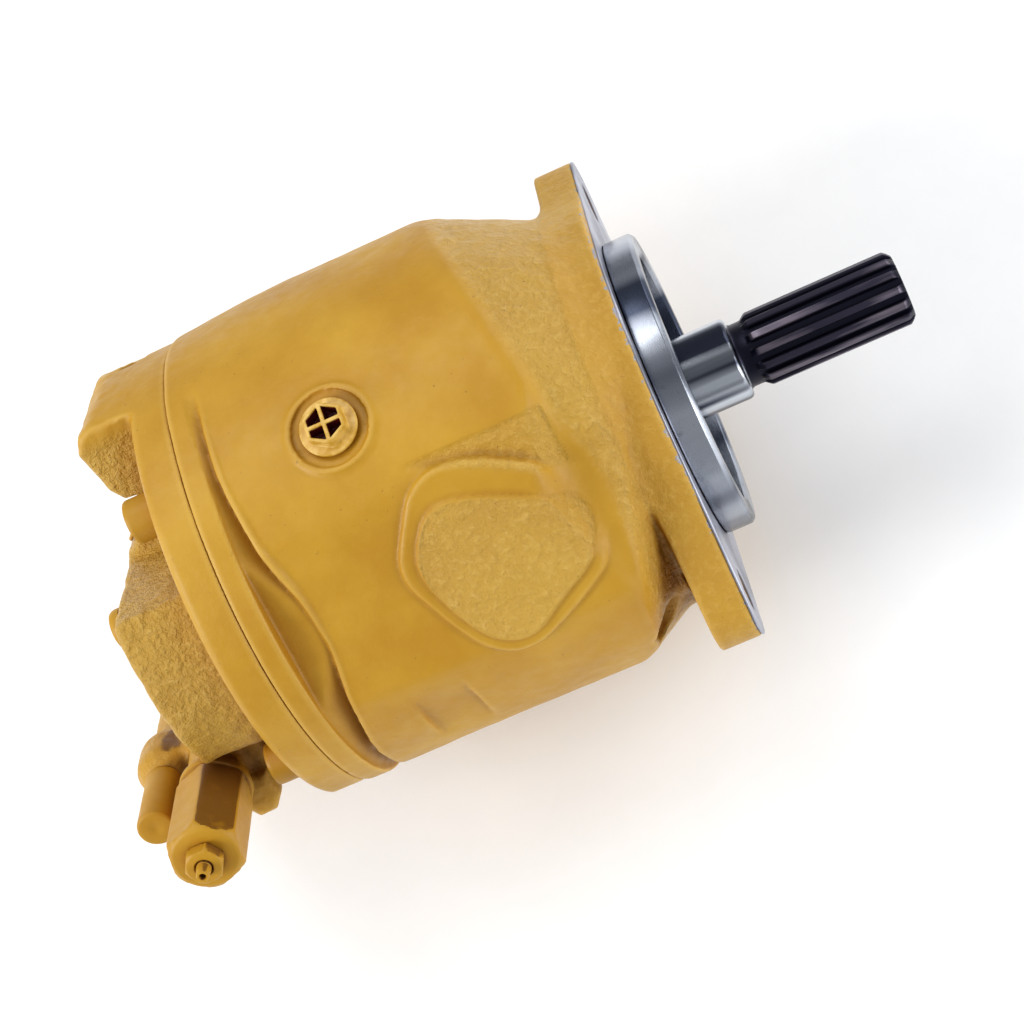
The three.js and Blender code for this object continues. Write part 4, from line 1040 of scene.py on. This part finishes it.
def make_drain_plugs():
    """Moulded shipping plugs: a hexagonal cup crossed by two ribs, over a round collar."""
    casting = Casting((DRAIN_X - 13, -13, 79), (DRAIN_X + 13, 13, 107), voxel=0.3)
    px, py = casting.x - DRAIN_X, casting.y
    sector = (np.arctan2(py, px) + math.pi / 6) % (math.pi / 3) - math.pi / 6
    from_axis = np.hypot(px, py)
    hexagon = from_axis * np.cos(sector) - 7.6
    casting.join(smooth_max(hexagon, casting.slab(casting.z, DRAIN_FACE_Z + 1, PLUG_TOP_Z), 0.8))
    collar = casting.slab(casting.z, DRAIN_FACE_Z + 0.3, DRAIN_FACE_Z + 2)
    casting.join(smooth_max(from_axis - 11.5, collar, 0.6), 0.5)
    casting.join(np.maximum(from_axis - 8.9, casting.slab(casting.z, 80.3, DRAIN_FACE_Z + 1)))
    ribs = np.minimum(np.abs(px), np.abs(py)) - 0.75
    cup = smooth_max(np.maximum(hexagon + 1.3, DRAIN_FACE_Z - casting.z), -ribs, 0.4)
    casting.cut(cup, 0.4)
    for node, turn in (("drain_plug", 0), ("lower_drain_plug", math.pi)):
        plug = casting.mesh(f"{node}_moulded", node, PLASTIC, "plug_plastic")
        plug.data.transform(Matrix.Rotation(turn, 4, "X"))


def make_slant_plate():
    """A thin cover plate lying on the slanted face, held by one low button head."""
    run = np.subtract(SLANT_HIGH, SLANT_LOW)
    length = np.hypot(*run)
    along = run / length
    outward = np.array([-along[1], along[0]])
    casting = Casting((-231, 30, -46), (-205, 56, 10), voxel=0.5, cradle=True)
    px, py = casting.x - SLANT_LOW[0], casting.cy - SLANT_LOW[1]
    s = px * along[0] + py * along[1]
    height = px * outward[0] + py * outward[1]
    plate = smooth_max(casting.slab(s, 0.6, length - 0.6), casting.slab(casting.cz, -42, 6), 3)
    casting.join(smooth_max(plate, casting.slab(height, 0.7, 2.4), 0.8))
    across = np.hypot(s - length / 2, casting.cz + 18)
    dome = np.maximum(np.sqrt(across ** 2 + (height + 0.6) ** 2) - 5.0, across - 3.6)
    casting.join(np.maximum(dome, 1 - height), 0.3)
    casting.cut(np.maximum(across - 1.3, 3.2 - height), 0.2)
    casting.mesh("slant_cover_plate", "slant_plate", PAINT)


def make_rear_plug():
    """A low plug with a hexagonal socket, screwed into the rear face."""
    face, rear = COVER_REAR_X, COVER_REAR_X - 5
    stations = [
        (rear + 3, 0), (rear + 3, 5, hexagonal(7.0)), (rear + 0.3, 5, hexagonal(7.2)), (rear, 4.9),
        (rear, 7.2), (rear + 0.4, 7.9), (rear + 1.4, 8.4), (rear + 2.4, 8.6), (face - 0.3, 8.6),
        (face - 0.3, 0),
    ]
    points, faces = shaped(stations, 72)
    points = from_cradle(points + [0, 21, 52])
    stand_in("rear_port_plug", "rear_plug", points, faces, PAINT)


# ---- control valve ----

VALVE_LOW_CZ = -42.0
PRESSURE_TOP_CZ = 50.0
FLOW_TOP_CZ = 28.0
PRESSURE_CAP_CZ = 102.0
FLOW_CAP_CZ = 64.0
VALVE_SCREW_X = -216.0
VALVE_SCREW_CZ = (-26.0, 28.0)
VALVE_SCREW_CY = -80.6
UPRIGHT_SEGMENTS = 120

# The valve body's round parts: X, radius, low and high end, and how round their ends are.
VALVE_BARRELS = (
    (FLOW_X, 7.5, VALVE_LOW_CZ, FLOW_TOP_CZ, 3), (FLOW_X, 12.5, 2, FLOW_TOP_CZ, 9),
    (PRESSURE_X, 13, VALVE_LOW_CZ, PRESSURE_TOP_CZ, 3),
)

# The outline of the lug above the lobe, in X and CY.
LUG = [(-230, -68), (-213, -66), (-212, -78), (-217, -84.5), (-225, -85), (-230, -78)]


def make_valve_body():
    """Two barrels side by side on a foot, a swollen lobe and a lug, as one small casting."""
    casting = Casting((-274, -87, -44), (-205, -43, 52), voxel=0.8, cradle=True)
    foot = casting.cradle_box((-228, -74, -36), (-208, -46.3, 42), 4)
    web = casting.cradle_box((FLOW_X, -70, -38), (PRESSURE_X, -52, 24), 3)
    casting.join(smooth_min(foot, web, 4))
    for x, radius, low, high, rounding in VALVE_BARRELS:
        casting.join(casting.rod("cz", x, SPOOL_CY, radius, low, high, rounding), 4)
    casting.join(casting.cradle_prism(LUG, 36, 47, 4), 4)
    casting.unevenness(0.25, 9)
    casting.unevenness(0.15, 3)
    casting.keep(casting.cy + 46.3)
    casting.keep(casting.slab(casting.cz, VALVE_LOW_CZ, PRESSURE_TOP_CZ))
    for cz in VALVE_SCREW_CZ:
        casting.cut(casting.rod("cy", VALVE_SCREW_X, cz, 6.2, -90, -74), 0.5)
        casting.cut(casting.rod("cy", VALVE_SCREW_X, cz, 3.5, -90, -40))
    for x, top in ((PRESSURE_X, PRESSURE_TOP_CZ), (FLOW_X, FLOW_TOP_CZ)):
        casting.cut(casting.rod("cz", x, SPOOL_CY, 4.6, -36, top + 5))
    casting.cut(casting.rod("cz", PRESSURE_X, SPOOL_CY, 8, 32, 60))
    casting.mesh("valve_casting", "valve_body", STAINED_AND_SHADED_PAINT, grit_and_glint=0.3)


def upright_piece(name, node, stations, x, material, body="housing"):
    """A shaped piece stood along the cradle frame's Z, on a spool's axis."""
    points, faces = shaped(stations, UPRIGHT_SEGMENTS)
    stand_in(name, node, upright(points, x, SPOOL_CY), faces, material, body, 30)


def make_valve_caps():
    hexagon = hexagonal(28, 19)
    low, top = PRESSURE_TOP_CZ + 0.3, PRESSURE_CAP_CZ
    upright_piece("pressure_cap_turned", "pressure_cap", [
        (low, 8), (low, 14.6), (low + 0.7, 15.3), (low + 3.2, 15.3), (low + 4.0, 14.9), (low + 4.3, 13.9),
        (low + 4.6, 13.9, hexagon), (low + 5.4, 15.2, hexagon), (low + 7.4, 16.1, hexagon),
        (top - 4.2, 16.1, hexagon), (top - 3.0, 15.7, hexagon), (top - 1.5, 14.7, hexagon),
        (top - 0.7, 13.8), (top - 0.2, 13.1), (top, 12.3), (top, 8.6), (top, 3.5), (top - 8, 3.4),
        (top - 8, 8),
    ], PRESSURE_X, STAINED_AND_SHADED_PAINT)
    low, top = FLOW_TOP_CZ + 0.3, FLOW_CAP_CZ
    upright_piece("flow_cap_turned", "flow_cap", [
        (low, 6.6), (low, 7.6), (low + 0.5, 8), (top - 1.6, 8), (top - 0.7, 7.8), (top - 0.2, 7.3),
        (top, 6.6), (top, 2.0), (top - 0.2, 1.4), (top - 0.2, 0), (top - 3, 0), (top - 3, 6.6),
    ], FLOW_X, PAINT)


def thread_stations(low, high, radius, pitch=1.0):
    """Rounded thread ridges between two heights."""
    turns = int((high - low) / pitch)
    depth = 0.3 * pitch
    return [(low + (k + share) * pitch, radius - dip * depth)
            for k in range(turns) for share, dip in ((0.0, 1.0), (0.3, 0.1), (0.5, 0.0), (0.7, 0.1))]


def make_adjuster():
    end = PRESSURE_CAP_CZ + 12.4
    upright_piece("adjusting_screw_threaded", "adjusting_screw", [
        (78, 0), (78, 7.2), (81, 7.2), (81, 2.7), *thread_stations(82, end - 4, 3.0), (end - 3.6, 2.9),
        (end - 0.6, 2.55), (end, 2.2), (end, 1.55), (end - 0.4, 1.35), (end - 4, 1.3), (end - 4, 0),
    ], PRESSURE_X, STAINED_AND_SHADED_PAINT, "adjusting_screw")
    low, high = PRESSURE_CAP_CZ + 0.3, PRESSURE_CAP_CZ + 6.5
    nut = hexagonal(14.5)
    upright_piece("lock_nut_bevelled", "lock_nut", [
        (low, 3.4), (low, 7.0), (low + 0.4, 7.6, nut), (low + 0.9, 8.37, nut), (high - 1.6, 8.37, nut),
        (high - 0.7, 7.6, nut), (high - 0.2, 7.0), (high, 6.4), (high, 4.0), (high - 0.6, 3.4),
    ], PRESSURE_X, STAINED_AND_SHADED_PAINT, body="lock_nut")


def make_valve_screws():
    for index, cz in enumerate(VALVE_SCREW_CZ, start=1):
        points, faces = shaped(cap_screw_stations(VALVE_SCREW_CY, 6, 4.5, 3, 38), 60)
        stood = np.stack([VALVE_SCREW_X - points[:, 1], points[:, 0], cz + points[:, 2]], 1)
        name = f"valve_screw_{index}"
        stand_in(f"{name}_socket", name, from_cradle(stood), faces, PAINT)


# ---- CAD pieces that keep their shape ----

NODE_FINISHES = {
    "cover_seal": "rubber", "cradle_bearing": "bronze", "slipper": "bronze", "swashplate": "bright",
    "valve_plate": "bright", "guide_ball": "bright", "control_piston": "bright", "bias_piston": "bright",
    "pressure_spool": "bright", "flow_spool": "bright", "front_bearing_cup": "bright",
    "rear_bearing_cup": "bright",
}


def finish_nodes():
    """Each CAD node still shown gets the detailed material of its kind."""
    finishes = {"rubber": RUBBER, "bronze": BRONZE, "bright": BRIGHT}
    for name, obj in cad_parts.items():
        if obj.hide_render:
            continue
        kind = next((kind for start, kind in NODE_FINISHES.items() if name.startswith(start)), None)
        obj.data.materials.clear()
        obj.data.materials.append(finishes.get(kind, STEEL))


# Springs that keep their CAD shape: the joint that shortens each, which way its fixed end lies, and by
# how many metres it shortens.
SPRINGS = (
    ("return_spring", "swash_tilt", (-1, 0, 0), 0.0186),
    ("pressure_spring", "pressure_spool_slide", (0, -COS45, COS45), 0.002),
    ("flow_spring", "flow_spool_slide", (0, -COS45, COS45), 0.002),
)


def squash_springs():
    """Each spring gets a mesh of its own and keeps its CAD shape."""
    for name, joint, axis, travel in SPRINGS:
        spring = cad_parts[name]
        axis = Vector(axis)
        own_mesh(spring)


# ---- floor, light and camera ----

CAMERA_AT = Vector((0.062093, -0.339070, 0.839228))
AIM = Vector((-0.0778, -0.0194, -0.0078))
CAMERA_ROLL = math.radians(-45.45)
LENS = 78.47


def make_floor():
    material = plain_material("pale_floor", (0.97, 0.97, 0.97), 0.6, 0.0, 40, 0.02, 0.02)
    bottom = cad_box[0][2] / MM - 1.0
    size = 4000
    corners = [(-size, -size, bottom), (size, -size, bottom), (size, size, bottom), (-size, size, bottom)]
    mesh = bpy.data.meshes.new("floor")
    mesh.from_pydata([tuple(c * MM for c in corner) for corner in corners], [], [(0, 1, 2, 3)])
    mesh.materials.append(material)
    floor = bpy.data.objects.new("floor", mesh)
    bpy.context.scene.collection.objects.link(floor)


def camera_axes():
    """The camera's right, up and backward directions."""
    back = (CAMERA_AT - AIM).normalized()
    right = Vector((0, 0, 1)).cross(back).normalized()
    up = back.cross(right)
    roll = Matrix.Rotation(CAMERA_ROLL, 3, back)
    return roll @ right, roll @ up, back


def make_camera():
    data = bpy.data.cameras.new("camera")
    data.lens = LENS
    data.sensor_width = 36
    camera = bpy.data.objects.new("camera", data)
    right, up, back = camera_axes()
    camera.matrix_world = Matrix.LocRotScale(CAMERA_AT, Matrix((right, up, back)).transposed(), None)
    bpy.context.scene.collection.objects.link(camera)
    bpy.context.scene.camera = camera


def make_light(name, across, upward, toward, size, power):
    """A soft square lamp aimed at the pump, placed in metres from it along the camera's axes."""
    right, up, back = camera_axes()
    place = AIM + right * across + up * upward + back * toward
    data = bpy.data.lights.new(name, "AREA")
    data.shape = "SQUARE"
    data.size = size
    data.energy = power
    lamp = bpy.data.objects.new(name, data)
    lamp.location = place
    lamp.rotation_euler = (AIM - place).to_track_quat("-Z", "Y").to_euler()
    bpy.context.scene.collection.objects.link(lamp)


def make_lights():
    make_light("key", -0.9, 0.9, 1.0, 0.9, 8)
    make_light("fill", 1.2, 0.1, 0.8, 0.9, 11)
    make_light("rim", 0.5, 1.2, 0.3, 0.8, 5)
    make_light("low", -1.4, -0.6, 0.8, 0.8, 20)
    world = bpy.data.worlds.new("studio")
    world.use_nodes = True
    world.node_tree.nodes["Background"].inputs["Color"].default_value = (0.95, 0.97, 1.0, 1)
    world.node_tree.nodes["Background"].inputs["Strength"].default_value = 0.46
    bpy.context.scene.world = world
    bpy.context.scene.view_settings.view_transform = "Standard"


# ---- everything ----

make_camera()
make_lights()
make_floor()
make_housing()
make_mounting_face()
make_pilot()
make_seal()
make_shaft()
make_cover()
make_cover_screws()
make_drain_plugs()
make_slant_plate()
make_rear_plug()
make_valve_body()
make_valve_caps()
make_adjuster()
make_valve_screws()
finish_nodes()
squash_springs()
